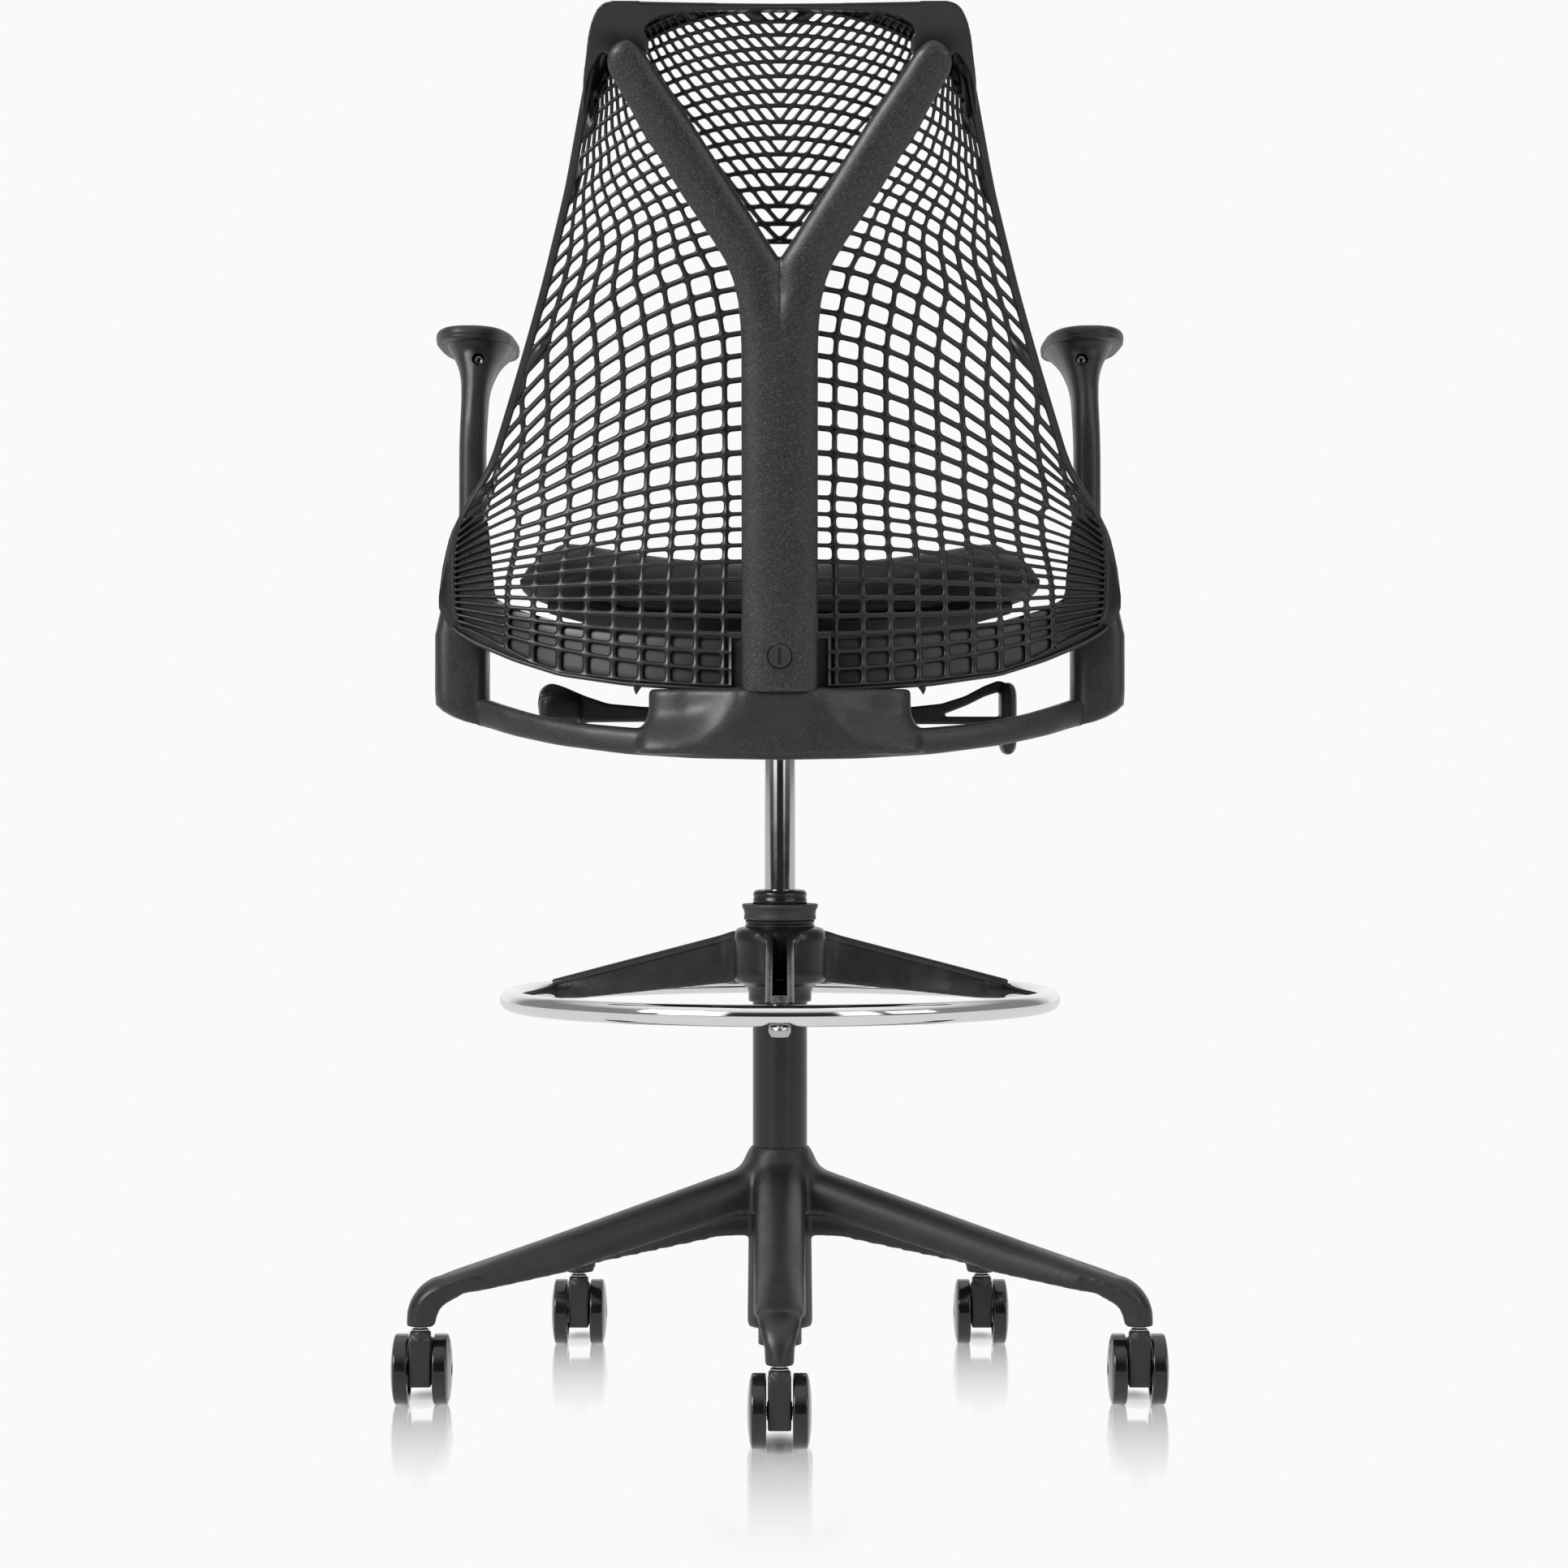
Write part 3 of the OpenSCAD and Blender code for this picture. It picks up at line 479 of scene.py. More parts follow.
def row_counts(i):
    """How many cells lie between the middle of row i and each sampled distance from it."""
    counts = [0.0]
    edge = None
    for k in range(int(REACH / SAMPLE)):
        x = (k + 0.5) * SAMPLE
        z = row_z(i, x)
        rim = edge_x(z)
        if edge is None and x > rim:
            edge = k
        width = lookup(SPACING, z) * (1 - lookup(SQUEEZE, z) * min(x / rim, 1) ** 3)
        counts.append(counts[-1] + SAMPLE / width)
    if i >= RIM_ROW and edge:
        rim = lookup(RIM_LINE, row_z(i, edge * SAMPLE)) + lookup(ROW_SHIFT, i) - counts[edge]
        counts = [c + rim * min(k / edge, 1) ** 4 for k, c in enumerate(counts)]
    return counts


ROWS = [row_counts(i) for i in range(ROW_COUNT + 1)]


def line_x(i, k):
    """Where line k crosses row i."""
    counts, wanted = ROWS[i], k + lookup(ROW_SHIFT, i)
    if wanted <= 0:
        return 0.0
    if wanted >= counts[-1]:
        return REACH + 10.0 * (wanted - counts[-1])
    low, high = 0, len(counts) - 1
    while high - low > 1:
        middle = (low + high) // 2
        if counts[middle] <= wanted:
            low = middle
        else:
            high = middle
    return (low + (wanted - counts[low]) / (counts[high] - counts[low])) * SAMPLE


def clipped(polygon, inside):
    """Keeps the part of a flagged polygon [(x, z, kind of the edge that starts here)] where inside >= 0."""
    out = []
    for i, (x, z, kind) in enumerate(polygon):
        nx, nz, _ = polygon[(i + 1) % len(polygon)]
        a, b = inside(x, z), inside(nx, nz)
        if a >= 0:
            out.append((x, z, kind))
        if (a >= 0) != (b >= 0):
            lo, hi = (0.0, 1.0) if a >= 0 else (1.0, 0.0)
            for _ in range(12):
                m = (lo + hi) / 2
                if inside(mix(x, nx, m), mix(z, nz, m)) >= 0:
                    lo = m
                else:
                    hi = m
            out.append((mix(x, nx, lo), mix(z, nz, lo), "border" if a >= 0 else kind))
    return out


def tidy_polygon(polygon):
    """Drops corners that lie closer than SHORTEST to the next one."""
    out = []
    for i, p in enumerate(polygon):
        q = polygon[(i + 1) % len(polygon)]
        if math.hypot(p[0] - q[0], p[1] - q[1]) > SHORTEST:
            out.append(p)
    return out


def area_of(polygon):
    return sum(polygon[i][0] * polygon[(i + 1) % len(polygon)][1]
               - polygon[(i + 1) % len(polygon)][0] * polygon[i][1] for i in range(len(polygon))) / 2


def inset_polygon(polygon, gaps):
    """Moves each edge inwards by its own gap; None if an edge would vanish."""
    n = len(polygon)
    lines = []
    for i in range(n):
        a, b = Vector(polygon[i][:2]), Vector(polygon[(i + 1) % n][:2])
        d = (b - a).normalized()
        lines.append((a + Vector((-d.y, d.x)) * gaps[i], d))
    out = []
    for i in range(n):
        (p, d), (q, e) = lines[i - 1], lines[i]
        cross = d.x * e.y - d.y * e.x
        if abs(cross) < 0.03:
            out.append(q)
            continue
        w = q - p
        t = (w.x * e.y - w.y * e.x) / cross
        out.append(p + d * t)
    for i in range(n):
        if (out[(i + 1) % n] - out[i]).dot(lines[i][1]) < 0.4:
            return None
    return out


class Net:
    """Collects the cells of the lattice as one mesh."""

    def __init__(self):
        self.points, self.faces = [], []

    def ring(self, ring):
        base = len(self.points)
        self.points += ring
        return range(base, base + len(ring))

    def band(self, a, b):
        n = len(a)
        self.faces += [(a[i], a[(i + 1) % n], b[(i + 1) % n], b[i]) for i in range(n)]

    def cell(self, polygon, pitch, height, blind=False):
        polygon = tidy_polygon(polygon)
        if len(polygon) < 3 or abs(area_of(polygon)) < 2:
            return
        if area_of(polygon) < 0:
            kinds = [p[2] for p in polygon]
            polygon = [(p[0], p[1], kinds[i - 1]) for i, p in enumerate(polygon)][::-1]
        n = len(polygon)
        side = min(max(1.6 + 0.065 * (pitch - 10.5), 1.5), 2.45)
        row = min(max(1.5 + 0.1 * (height - 10.8), 1.5), 2.6)
        widths = {"row": row, "line": side, "border": 0.6, "tab": 3.2}
        proud = {"row": 2.5, "line": 1.7, "border": 1.9, "tab": 2.2}
        hole = inset_polygon(polygon, [widths[p[2]] for p in polygon])
        if hole is None:
            front = self.ring([(x, lattice_y(x, z) - 1.7, z) for x, z, _ in polygon])
            back = self.ring([(x, lattice_y(x, z) + 1.2, z) for x, z, _ in polygon])
            self.faces += [tuple(front), tuple(reversed(back))]
            self.band(front, back)
            return
        inner, outer, height = [], [], []
        for i in range(n):
            corner, c0 = hole[i], Vector(polygon[i][:2])
            before, after = hole[i - 1], hole[(i + 1) % n]
            u, v = before - corner, after - corner
            reach = min(0.19 * pitch, 0.42 * u.length, 0.42 * v.length, 3.6)
            a, b = corner + u.normalized() * reach, corner + v.normalized() * reach
            kind_in, kind_out = polygon[i - 1][2], polygon[i][2]
            e_in = (c0 - Vector(polygon[i - 1][:2])).normalized()
            e_out = (Vector(polygon[(i + 1) % n][:2]) - c0).normalized()
            start = c0 - e_in * max((c0 - a).dot(e_in), 0)
            end = c0 + e_out * max((b - c0).dot(e_out), 0)
            top = max(proud[kind_in], proud[kind_out])
            for t, o, h in ((0, start, proud[kind_in]), (0.25, (start + c0) / 2, (proud[kind_in] + top) / 2),
                            (0.5, c0, top), (0.75, (c0 + end) / 2, (top + proud[kind_out]) / 2),
                            (1, end, proud[kind_out])):
                inner.append(a * (1 - t) ** 2 + corner * 2 * t * (1 - t) + b * t * t)
                outer.append(o)
                height.append(h)
        rings = []
        for share, lift, y in ((0, -1.0, 0), (0.55, -0.86, 0), (1.0, -0.3, 0), (1.0, 0, 0.5), (0, 0, 1.4)):
            ring = []
            for p, o, h in zip(inner, outer, height):
                q = o.lerp(p, share)
                ring.append((q.x, lattice_y(q.x, q.y) + h * lift + y, q.y))
            rings.append(self.ring(ring))
        if blind:
            self.faces += [tuple(rings[3]), tuple(reversed(rings[4]))]
            del rings[4]
        for a, b in zip(rings, rings[1:]):
            self.band(a, b)


def build_lattice():
    net = Net()
    for i in range(ROW_COUNT):
        first = math.ceil(-lookup(ROW_SHIFT, i) - 1e-6)
        limit = EAR_CELL if i < RIM_ROW else MOST_CELLS
        pitch = line_x(i, first + 3) - line_x(i, first + 2)
        height = lookup(ROW_Z, i + 1) - lookup(ROW_Z, i)
        x0, x1 = line_x(i, first), line_x(i + 1, first)
        if max(x0, x1) > 0.5:
            middle = [(-x0, row_z(i, x0), "row"), (x0, row_z(i, x0), "line"),
                      (x1, row_z(i + 1, x1), "row"), (-x1, row_z(i + 1, x1), "line")]
            middle = clipped(middle, lambda x, z: LATTICE_TOP - z)
            if len(middle) > 2:
                net.cell(middle, pitch, height, i >= BLIND_ROW)
        for k in range(first, limit + 1):
            a, b = line_x(i, k), line_x(i, k + 1)
            c, d = line_x(i + 1, k), line_x(i + 1, k + 1)
            if k == limit:
                low = [(x, row_z(i, x), "row") for x in span(a, EAR_TIP, 5)]
                high = [(x, row_z(i + 1, x), "row") for x in reversed(span(c, EAR_TIP, 5))]
                low[-1] = (*low[-1][:2], "line")
                high[-1] = (*high[-1][:2], "line")
                polygon = low + high
            else:
                polygon = [(a, row_z(i, a), "row"), (b, row_z(i, b), "line"),
                           (d, row_z(i + 1, d), "row"), (c, row_z(i + 1, c), "line")]
            polygon = clipped(polygon, lambda x, z: edge_x(z) - x)
            if not polygon:
                break
            at_rim = "border" in [kind for _, _, kind in polygon]
            polygon = clipped(polygon, lambda x, z: LATTICE_TOP - z)
            if i < 3:
                polygon = [(x, z, "tab" if kind == "border" and x < 60 else kind)
                           for x, z, kind in clipped(polygon, lambda x, z: x - TAB_X)]
            if len(polygon) < 3:
                continue
            blind = i >= BLIND_ROW or (at_rim and i >= RIM_BLIND_ROW)
            width = b - a if k < limit else pitch
            here = min((a + b) / 2, EAR_X - 10) if k < limit else EAR_X
            tall = min(height, row_z(i + 1, here) - row_z(i, here) + 5)
            net.cell(polygon, width, tall, blind)
            net.cell([(-x, z, kind) for x, z, kind in flipped(polygon)], width, tall, blind)
    rim = []
    for z in span(700, 1206, 84):
        x, e = at(LATTICE_WIDTH, z), edge_x(z)
        mid = (x + e) / 2
        rim.append([(e - 0.6, lattice_y(e, z) - 1.6, z), (mid, lattice_y(mid, z) - 2.3, z),
                    (x - 0.8, lattice_y(x, z) - 1.5, z), (x, lattice_y(x, z), z),
                    (x - 0.8, lattice_y(x, z) + 1.2, z), (mid, lattice_y(mid, z) + 1.7, z),
                    (e - 0.6, lattice_y(e, z) + 1.3, z)])
    strip = loft(rim)
    return merged((net.points, net.faces), strip, mirrored(strip))


def flipped(polygon):
    """The same polygon walked the other way, with each edge keeping its kind."""
    n = len(polygon)
    return [(polygon[i][0], polygon[i][1], polygon[i - 1][2]) for i in range(n - 1, -1, -1)]


lattice = piece("lattice_sheet", build_lattice(), "lattice_elastomer", "back", ["back_lattice"])

# ---- Back: the tower, the bow and the lower band ------------------------------------------------

TOWER_REAR = [(600, -246), (640, -250), (800, -268), (1000, -293), (1110, -318), (1184, -334), (1200, -337)]
TOWER_DEPTH = [(639, 32), (900, 28), (1000, 26), (1150, 21), (1167, 19.5), (1184, 17)]
ARM_OUT = [(640, 33), (930, 33), (950, 33.6), (970, 35.6), (988, 39.8), (1003, 46), (1016, 53.8),
           (1036, 67.5), (1059, 83.6), (1109, 114.7), (1158, 143.8), (1167, 146), (1176, 143.8),
           (1182, 137), (1184.5, 131)]
ARM_IN = [(640, -33), (915, -33), (935, -22), (955, -9), (975, -3), (1000, -2.4), (1008, 1.6),
          (1018, 8.6), (1034, 19), (1071, 43.5), (1125, 78.9), (1158, 102.5), (1167, 108.5), (1176, 115),
          (1182, 122), (1184.5, 127)]


def tower_half():
    rings = []
    arm_end = [1154, 1158, 1162, 1166, 1170, 1174, 1177, 1180, 1182, 1183.6, 1184.5]
    for z in span(637, 900, 12) + span(910, 1150, 60)[1:] + arm_end:
        x0, x1 = lookup(ARM_IN, z), lookup(ARM_OUT, z)
        near_end = step(1184.6, 1172, z)
        depth = lookup(TOWER_DEPTH, z) * (0.45 + 0.55 * near_end)
        rear = at(TOWER_REAR, z) + (1 - near_end) * 4
        ring = oval((x0 + x1) / 2, rear + depth / 2, x1 - x0, depth, 44, 2.25)
        rings.append([(x, y, z) for x, y in ring])
    return loft(rings)


tower = piece("tower_shell", merged(tower_half(), mirrored(tower_half())), "tower_plastic", "back",
              ["y_tower"])
fused(tower, 2.0, 5)
# Recess that the round cap sits in
CAP_R, CAP_Y, CAP_Z = 10.6, -249.5, 668
carved(tower, along_y(rod(CAP_R, -40, 4, 64), 0, CAP_Y, CAP_Z))


def bow_y(x, z):
    """The bow's middle plane leans back 20 degrees; its ends ease into the lattice's rim."""
    plane = -300.5 - math.tan(math.radians(20)) * (z - 1158)
    return mix(lattice_y(x, z) - 3.5, plane, step(1128, 1172, z))


def smoothed(stations, count=4):
    """Passes a soft curve through a list of equally long tuples."""
    out = []
    n = len(stations)
    for i in range(n - 1):
        p = [stations[max(i - 1, 0)], stations[i], stations[i + 1], stations[min(i + 2, n - 1)]]
        for t in span(0, 1, count)[:-1]:
            out.append(tuple(0.5 * (2 * b + (c - a) * t + (2 * a - 5 * b + 4 * c - d) * t * t
                                    + (3 * b - a - 3 * c + d) * t ** 3) for a, b, c, d in zip(*p)))
    return out + [stations[-1]]


# Window edge and outer edge of the bow, station by station, from the tail in the rim up to the middle
BOW = [(167.0, 1130, 168.8, 1130), (164.3, 1146, 167.6, 1146), (160.8, 1159, 165.9, 1160),
       (156, 1168, 164.3, 1169), (149, 1176, 163.0, 1178), (141, 1171, 162.1, 1185),
       (127, 1166, 160.8, 1192), (113.5, 1174, 158.6, 1200), (110.6, 1186, 154.8, 1208.5),
       (113.8, 1192, 149.5, 1214.2), (112.6, 1197.6, 141.5, 1217), (104, 1203.2, 127, 1217),
       (88, 1207.4, 100, 1216.4), (60, 1209.6, 62, 1215.6), (0, 1210.6, 0, 1215)]


def build_bow():
    path = smoothed(BOW, 5)
    path += [(-a, b, -c, d) for a, b, c, d in reversed(path[:-1])]
    plate, wall = [], []
    for xi, zi, xo, zo in path:
        thick = mix(2.2, 6, step(1132, 1168, zo))
        rear, front = [], []
        for t in span(0, 1, 10):
            x, z = mix(xi, xo, t), mix(zi, zo, t)
            scoop = 3.0 * math.exp(-((abs(x) - 137) / 17) ** 2 - ((z - 1196) / 13) ** 2)
            rear.append((x, bow_y(x, z) - thick + scoop, z))
            front.append((x, bow_y(x, z) + thick, z))
        plate.append(rear + front[::-1])
        reach = math.hypot(xo - xi, zo - zi)
        share = min(4.2 / reach, 1)
        x, z = mix(xo, xi, share), mix(zo, zi, share)
        wall.append([(xo, bow_y(xo, zo), zo), (x, bow_y(x, z), z),
                     (x, max(lattice_y(x, z) + 0.5, bow_y(x, z) + thick), z),
                     (xo, max(lattice_y(xo, zo) + 0.5, bow_y(xo, zo) + thick), zo)])
    return merged(loft(plate), loft(wall))


bow = piece("bow_frame", build_bow(), "band_plastic", "back", ["top_bow"])
fused(bow, 1.3, 5)

BAND_LOW = [(0, 638), (60, 638.2), (132, 643), (193, 652), (234, 665), (270, 680), (287, 690), (297, 699),
            (303, 716)]
BAND_HIGH = [(0, 684), (60, 685), (132, 690), (193, 700), (234, 712), (252, 722), (257, 790), (284, 796),
             (293, 778), (300, 750), (303, 722)]


def build_band():
    rings = []
    left = span(-303, -258, 15) + span(-256, -248, 4)[1:]
    for x in left + span(-244, 244, 61) + span(248, 256, 4) + span(258, 303, 15):
        low, high = at(BAND_LOW, abs(x), 4), at(BAND_HIGH, abs(x), 1.5)
        ring = []
        for z in span(low, high, 8):
            soft = 1.6 * (1 - min((z - low), (high - z), 2.4) / 2.4)
            ring.append((x, lattice_y(x, z) + 3.3 + soft, z))
        for z in reversed(span(low, high, 8)):
            soft = 1.6 * (1 - min((z - low), (high - z), 2.4) / 2.4)
            ring.append((x, lattice_y(x, z) + 8.3 - soft, z))
        rings.append(ring)
    return loft(rings)


band = piece("band_rail", build_band(), "band_plastic", "back", ["lower_band"], 50)

# Bright-edged lip that the lattice is moulded round, along the foot of the band
lip = []
for x in span(-292, 292, 96):
    low = at(BAND_LOW, abs(x), 4)
    y = lattice_y(x, low + 3)
    lip.append([(x, y + 1.2 + 2.6 * math.cos(a), low + 2.2 + 2.0 * math.sin(a)) for a in turn(10)])
piece("band_lip", loft(lip), "band_plastic", "back")

# ---- Back: the arm yoke with its sleeves --------------------------------------------------------

YOKE_LOW = [(0, 578.8), (72, 580), (132, 583.6), (194, 591.4), (236, 600), (270, 610)]
YOKE_HIGH = [(0, 604), (124, 606.6), (169, 610.6), (215, 618.7), (250, 629), (270, 636)]
YOKE_MID = [(0, -228), (60, -226), (120, -210), (170, -186), (215, -156), (245, -128), (262, -104),
            (270, -92)]


BLOCK_HALF, BLOCK_LOW, BLOCK_HIGH = 114, 584, 640.5


def scoop_floor(x):
    """Height above which the block's rear face is hollowed, rising beside the central boss."""
    return 594 + 42 * math.exp(-max(abs(x) - 34, 0) / 20)


def build_yoke():
    rings = []
    for x in span(-272, 272, 80):
        low, high = at(YOKE_LOW, abs(x), 8), at(YOKE_HIGH, abs(x), 8)
        mid = at(YOKE_MID, abs(x), 10)
        depth = lookup([(0, 34), (120, 30), (230, 30), (262, 44)], abs(x))
        ring = [(x, y, z) for y, z in oval(mid, (low + high) / 2, depth, high - low, 28, 3.6)]
        rings.append(ring)
    beam = loft(rings)
    rings = []
    for z in span(BLOCK_LOW, BLOCK_HIGH, 24):
        t = (z - BLOCK_LOW) / (BLOCK_HIGH - BLOCK_LOW)
        flare = 10 * (1 - step(596, 622, z))
        y_rear, y_front = mix(-245, -242.5, t), -180
        ring = []
        for x, y in oval(0, (y_rear + y_front) / 2, 2 * (BLOCK_HALF + flare), y_front - y_rear, 120, 4.2):
            if y < (y_rear + y_front) / 2:
                y += 16 * step(30, 84, abs(x)) * step(-8, 26, z - scoop_floor(x))
            ring.append((x, y, z))
        rings.append(ring)
    block = loft(rings)
    spigot = slab(round_corners([(-31, 600), (31, 600), (31, 637.4), (-31, 637.4)], 2), -244, -216)
    pivot_eye = round_corners([(-56, 628), (-24, 628), (-24, 655), (-56, 655)], 14, 8)
    link_arm = [(-50, 652), (-50, 626), (-180, 592), (-205, 594), (-205, 628), (-180, 634)]
    plates = [slab(outline, 88, 98, lambda u, v, d, s=s: (s * d, u, v))
              for s in (-1, 1) for outline in (pivot_eye, round_corners(link_arm, 5))]
    return merged(beam, block, spigot, *plates)


yoke = piece("yoke_casting", build_yoke(), "yoke_metal", "back", ["arm_yoke"])
fused(yoke, 2.4, 8)

SLEEVE_OUT = [(609, 269), (613, 284), (617, 293), (622, 302), (628, 308.5), (640, 309), (690, 309),
              (715, 303.5), (760, 297), (786, 293)]
SLEEVE_IN, SLEEVE_Y, SLEEVE_DEPTH = 261.5, -85, 66

for side, name in SIDES:
    outside, inside = [], []
    for z in [609, 611, 613, 617, 622, 628, 640, 660, 690, 702, 715, 737, 760, 775, 781, 784, 785]:
        inset = lookup([(609, 5), (611, 2), (616, 0), (780, 0), (784, 0.8), (785, 1.8)], z)
        out = at(SLEEVE_OUT, z, 1)
        wide = out - SLEEVE_IN - 2 * inset
        ring = oval((out + SLEEVE_IN) / 2, SLEEVE_Y, wide, SLEEVE_DEPTH - 2 * inset, 56, 4.2)
        outside.append([(side * x, y, z) for x, y in ring])
    for z in (632, 700, 781, 784, 785):
        flare = 0.9 if z > 784 else 0
        ring = oval(276.5, SLEEVE_Y, 25.2 + 2 * flare, 41.4 + 2 * flare, 56, 3.2)
        inside.append([(side * x, y, z) for x, y in ring])
    piece(f"sleeve_{name}", loft(outside + inside[::-1]), "arm_plastic", "back",
          [f"arm_sleeve_{'l' if side < 0 else 'r'}"], 50)

# ---- Arms ---------------------------------------------------------------------------------------

POST_W = [(698, 24), (880, 23.8), (904, 24), (919, 27), (933, 35), (946, 49), (955, 62)]
POST_CX = [(698, 276.5), (860, 276), (904, 274.6), (933, 273.2), (955, 273.6)]
POST_D = [(698, 40), (848, 40), (880, 45), (910, 60), (935, 100), (948, 150), (955, 190)]
POST_CY = [(698, -85), (852, -85), (880, -82.5), (910, -72), (935, -45), (948, -15), (955, 0)]
SCREW_X, SCREW_Z = 271, 938

for side, name in SIDES:
    tag = "l" if side < 0 else "r"
    rings = []
    for z in span(698, 860, 10) + span(866, 955, 30):
        w, d = at(POST_W, z, 6), at(POST_D, z, 6)
        cx, cy = at(POST_CX, z, 6), at(POST_CY, z, 6)
        ring = []
        for x, y in oval(cx, cy, w, d, 64, 3.0):
            ridge = math.exp(-((x - cx) / 3.2) ** 2) if y < cy else 0
            ring.append((side * x, y - 1.2 * ridge * step(852, 905, z), z))
        rings.append(ring)
    post = piece(f"post_{name}", loft(rings), "arm_plastic", f"arm_{name}", [f"arm_post_{tag}"], 60)
    rear = at(POST_CY, SCREW_Z, 6) - at(POST_D, SCREW_Z, 6) / 2
    carved(post, along_y(rod(5.6, 0, 30, 40), side * SCREW_X, rear - 14, SCREW_Z))
    post.data.set_sharp_from_angle(angle=math.radians(45))
    head = lathe([(0.01, 0.6), (1.9, 0.6), (2.3, 0), (4.4, 0.2), (4.9, 0.9), (4.9, 2.4), (0.01, 2.4)], 32)
    head = along_y(head, side * SCREW_X, rear + 9, SCREW_Z)
    piece(f"pad_screw_{name}", head, "bright_steel", f"arm_{name}")
    rings = []
    for z, inset in ((954.6, 4.0), (955, 1.6), (956.2, 0.5), (957.6, 0.9), (958, 0.9), (958.4, 0.3),
                     (960, 0), (962.5, 0.3), (964.6, 1.6), (966, 4.2), (966.7, 9), (967, 16)):
        ring = oval(277.5, 5, 71 - 2 * inset, 250 - 2 * inset, 96, 2.9)
        rings.append([(side * x, y, z) for x, y in ring])
    pad = piece(f"pad_{name}", loft(rings), "pad_skin", f"arm_{name}", [f"arm_pad_{tag}"])

# ---- Seat ---------------------------------------------------------------------------------------

SEAT_HALF, SEAT_Z = 246, 748
SEAT_WIDTH = [(-164, 0.72), (-156, 0.82), (-140, 0.92), (-110, 0.98), (-40, 1), (70, 1), (160, 0.97),
              (220, 0.89), (250, 0.78), (268, 0.62)]
SEAT_CROWN = [(-164, -24), (-156, -12), (-140, -2), (-110, 3), (0, 0), (110, 2), (190, -2), (230, -12),
              (255, -28), (268, -42)]
SEAT_UNDER = [(-164, -34), (-150, -40), (-110, -41), (0, -45), (110, -42), (200, -45), (250, -48), (268, -50)]


def seat_top(t, y):
    z = SEAT_Z + lookup(SEAT_CROWN, y) + 23 * min(abs(t) / 0.84, 1) ** 2
    return z - (24 * ((abs(t) - 0.84) / 0.16) ** 2 if abs(t) > 0.84 else 0)


def seat_low(t, y):
    return min(SEAT_Z + lookup(SEAT_UNDER, y) + 29 * abs(t) ** 4, seat_top(t, y) - 7)


def seat_sheet(keep, up, down, ys, columns=28):
    ts = [math.sin(a) * keep for a in span(-math.pi / 2, math.pi / 2, columns)]
    rings = []
    for y in ys:
        half = SEAT_HALF * at(SEAT_WIDTH, y, 5)
        ring = [(t * half, y, up(t, y)) for t in ts]
        ring += [(t * half, y, down(t, y)) for t in reversed(ts)]
        rings.append(ring)
    return loft(rings)


def puffed(obj, pressure=4.0, rise=8.0, sink=1.0, frames=20):
    """Blows a closed form up as cloth, limits how far each point went and keeps the result."""
    start = [v.co.copy() for v in obj.data.vertices]
    normals = [v.normal.copy() for v in obj.data.vertices]
    cloth = obj.modifiers.new("cloth", "CLOTH")
    cloth.settings.use_pressure = True
    cloth.settings.uniform_pressure_force = pressure
    cloth.settings.effector_weights.gravity = 0
    cloth.settings.quality = 5
    cloth.point_cache.frame_start, cloth.point_cache.frame_end = 1, frames
    for f in range(1, frames + 1):
        bpy.context.scene.frame_set(f)
    moved_to = bpy.data.meshes.new_from_object(obj.evaluated_get(bpy.context.evaluated_depsgraph_get()))
    obj.modifiers.clear()
    for v, p, n in zip(moved_to.vertices, start, normals):
        most = mix(sink, rise, step(-0.5, 0.4, n.z)) * MM
        d = v.co - p
        if d.length > most:
            v.co = p + d * (most / d.length)
    obj.data = moved_to
    bpy.context.scene.frame_set(1)


ys = [-160, -157, -150, -138] + span(-124, 220, 26) + [232, 243, 252, 259, 263]
flat = seat_sheet(0.97, lambda t, y: seat_top(t, y) - 5, lambda t, y: seat_low(t, y) + 2, ys)
cushion = piece("cushion_cover", flat, "seat_fabric", "seat", ["seat_cushion"])
fused(cushion, 6.0, 6)
puffed(cushion)
baked(cushion, ("SUBSURF", {"levels": 1}))


def tube_along(points, radius, count=10):
    """Closed round bead through a ring of points."""
    rings = []
    n = len(points)
    for i, c in enumerate(points):
        d = (points[(i + 1) % n] - points[i - 1]).normalized()
        u = d.cross(Vector((0, 0, 1))).normalized()
        v = u.cross(d)
        rings.append([tuple(c + u * radius * math.cos(a) + v * radius * math.sin(a))
                      for a in turn(count)])
    return loft(rings, closed=True)


def cushion_edge():
    """Round the cushion, a line at its side held onto the cover's surface."""
    surface = BVHTree.FromPolygons([v.co / MM for v in cushion.data.vertices],
                                   [p.vertices for p in cushion.data.polygons])
    ring = []
    right = [(SEAT_HALF * at(SEAT_WIDTH, y, 5), y) for y in span(-158, 262, 84)]
    outline = right + [(-x, y) for x, y in reversed(right)]
    fore, aft = outline[len(right) - 1], outline[0]
    front = [(x, fore[1] + 3) for x in span(fore[0] - 6, -fore[0] + 6, 60)]
    rear = [(x, aft[1] - 3) for x in span(-aft[0] + 6, aft[0] - 6, 60)]
    for x, y in right + front + outline[len(right):] + rear:
        t = min(abs(x) / (SEAT_HALF * at(SEAT_WIDTH, y, 5)), 1)
        z = mix(seat_low(t, y), seat_top(t, y), 0.5)
        ring.append(surface.find_nearest(Vector((x, y, z)))[0])
    for _ in range(4):
        ring = [(ring[i - 1] + 2 * p + ring[(i + 1) % len(ring)]) / 4 for i, p in enumerate(ring)]
    return ring


piece("cushion_seam", tube_along(cushion_edge(), 1.5), "seat_fabric", "seat")

pan_ys = [y for y in ys if -156 < y < 256]
pan = seat_sheet(0.86, lambda t, y: seat_low(t, y) - 0.6, lambda t, y: seat_low(t, y) - 6.4, pan_ys)
piece("pan_shell", pan, "pan_plastic", "seat", ["seat_pan"], 50)

# ---- Base ---------------------------------------------------------------------------------------

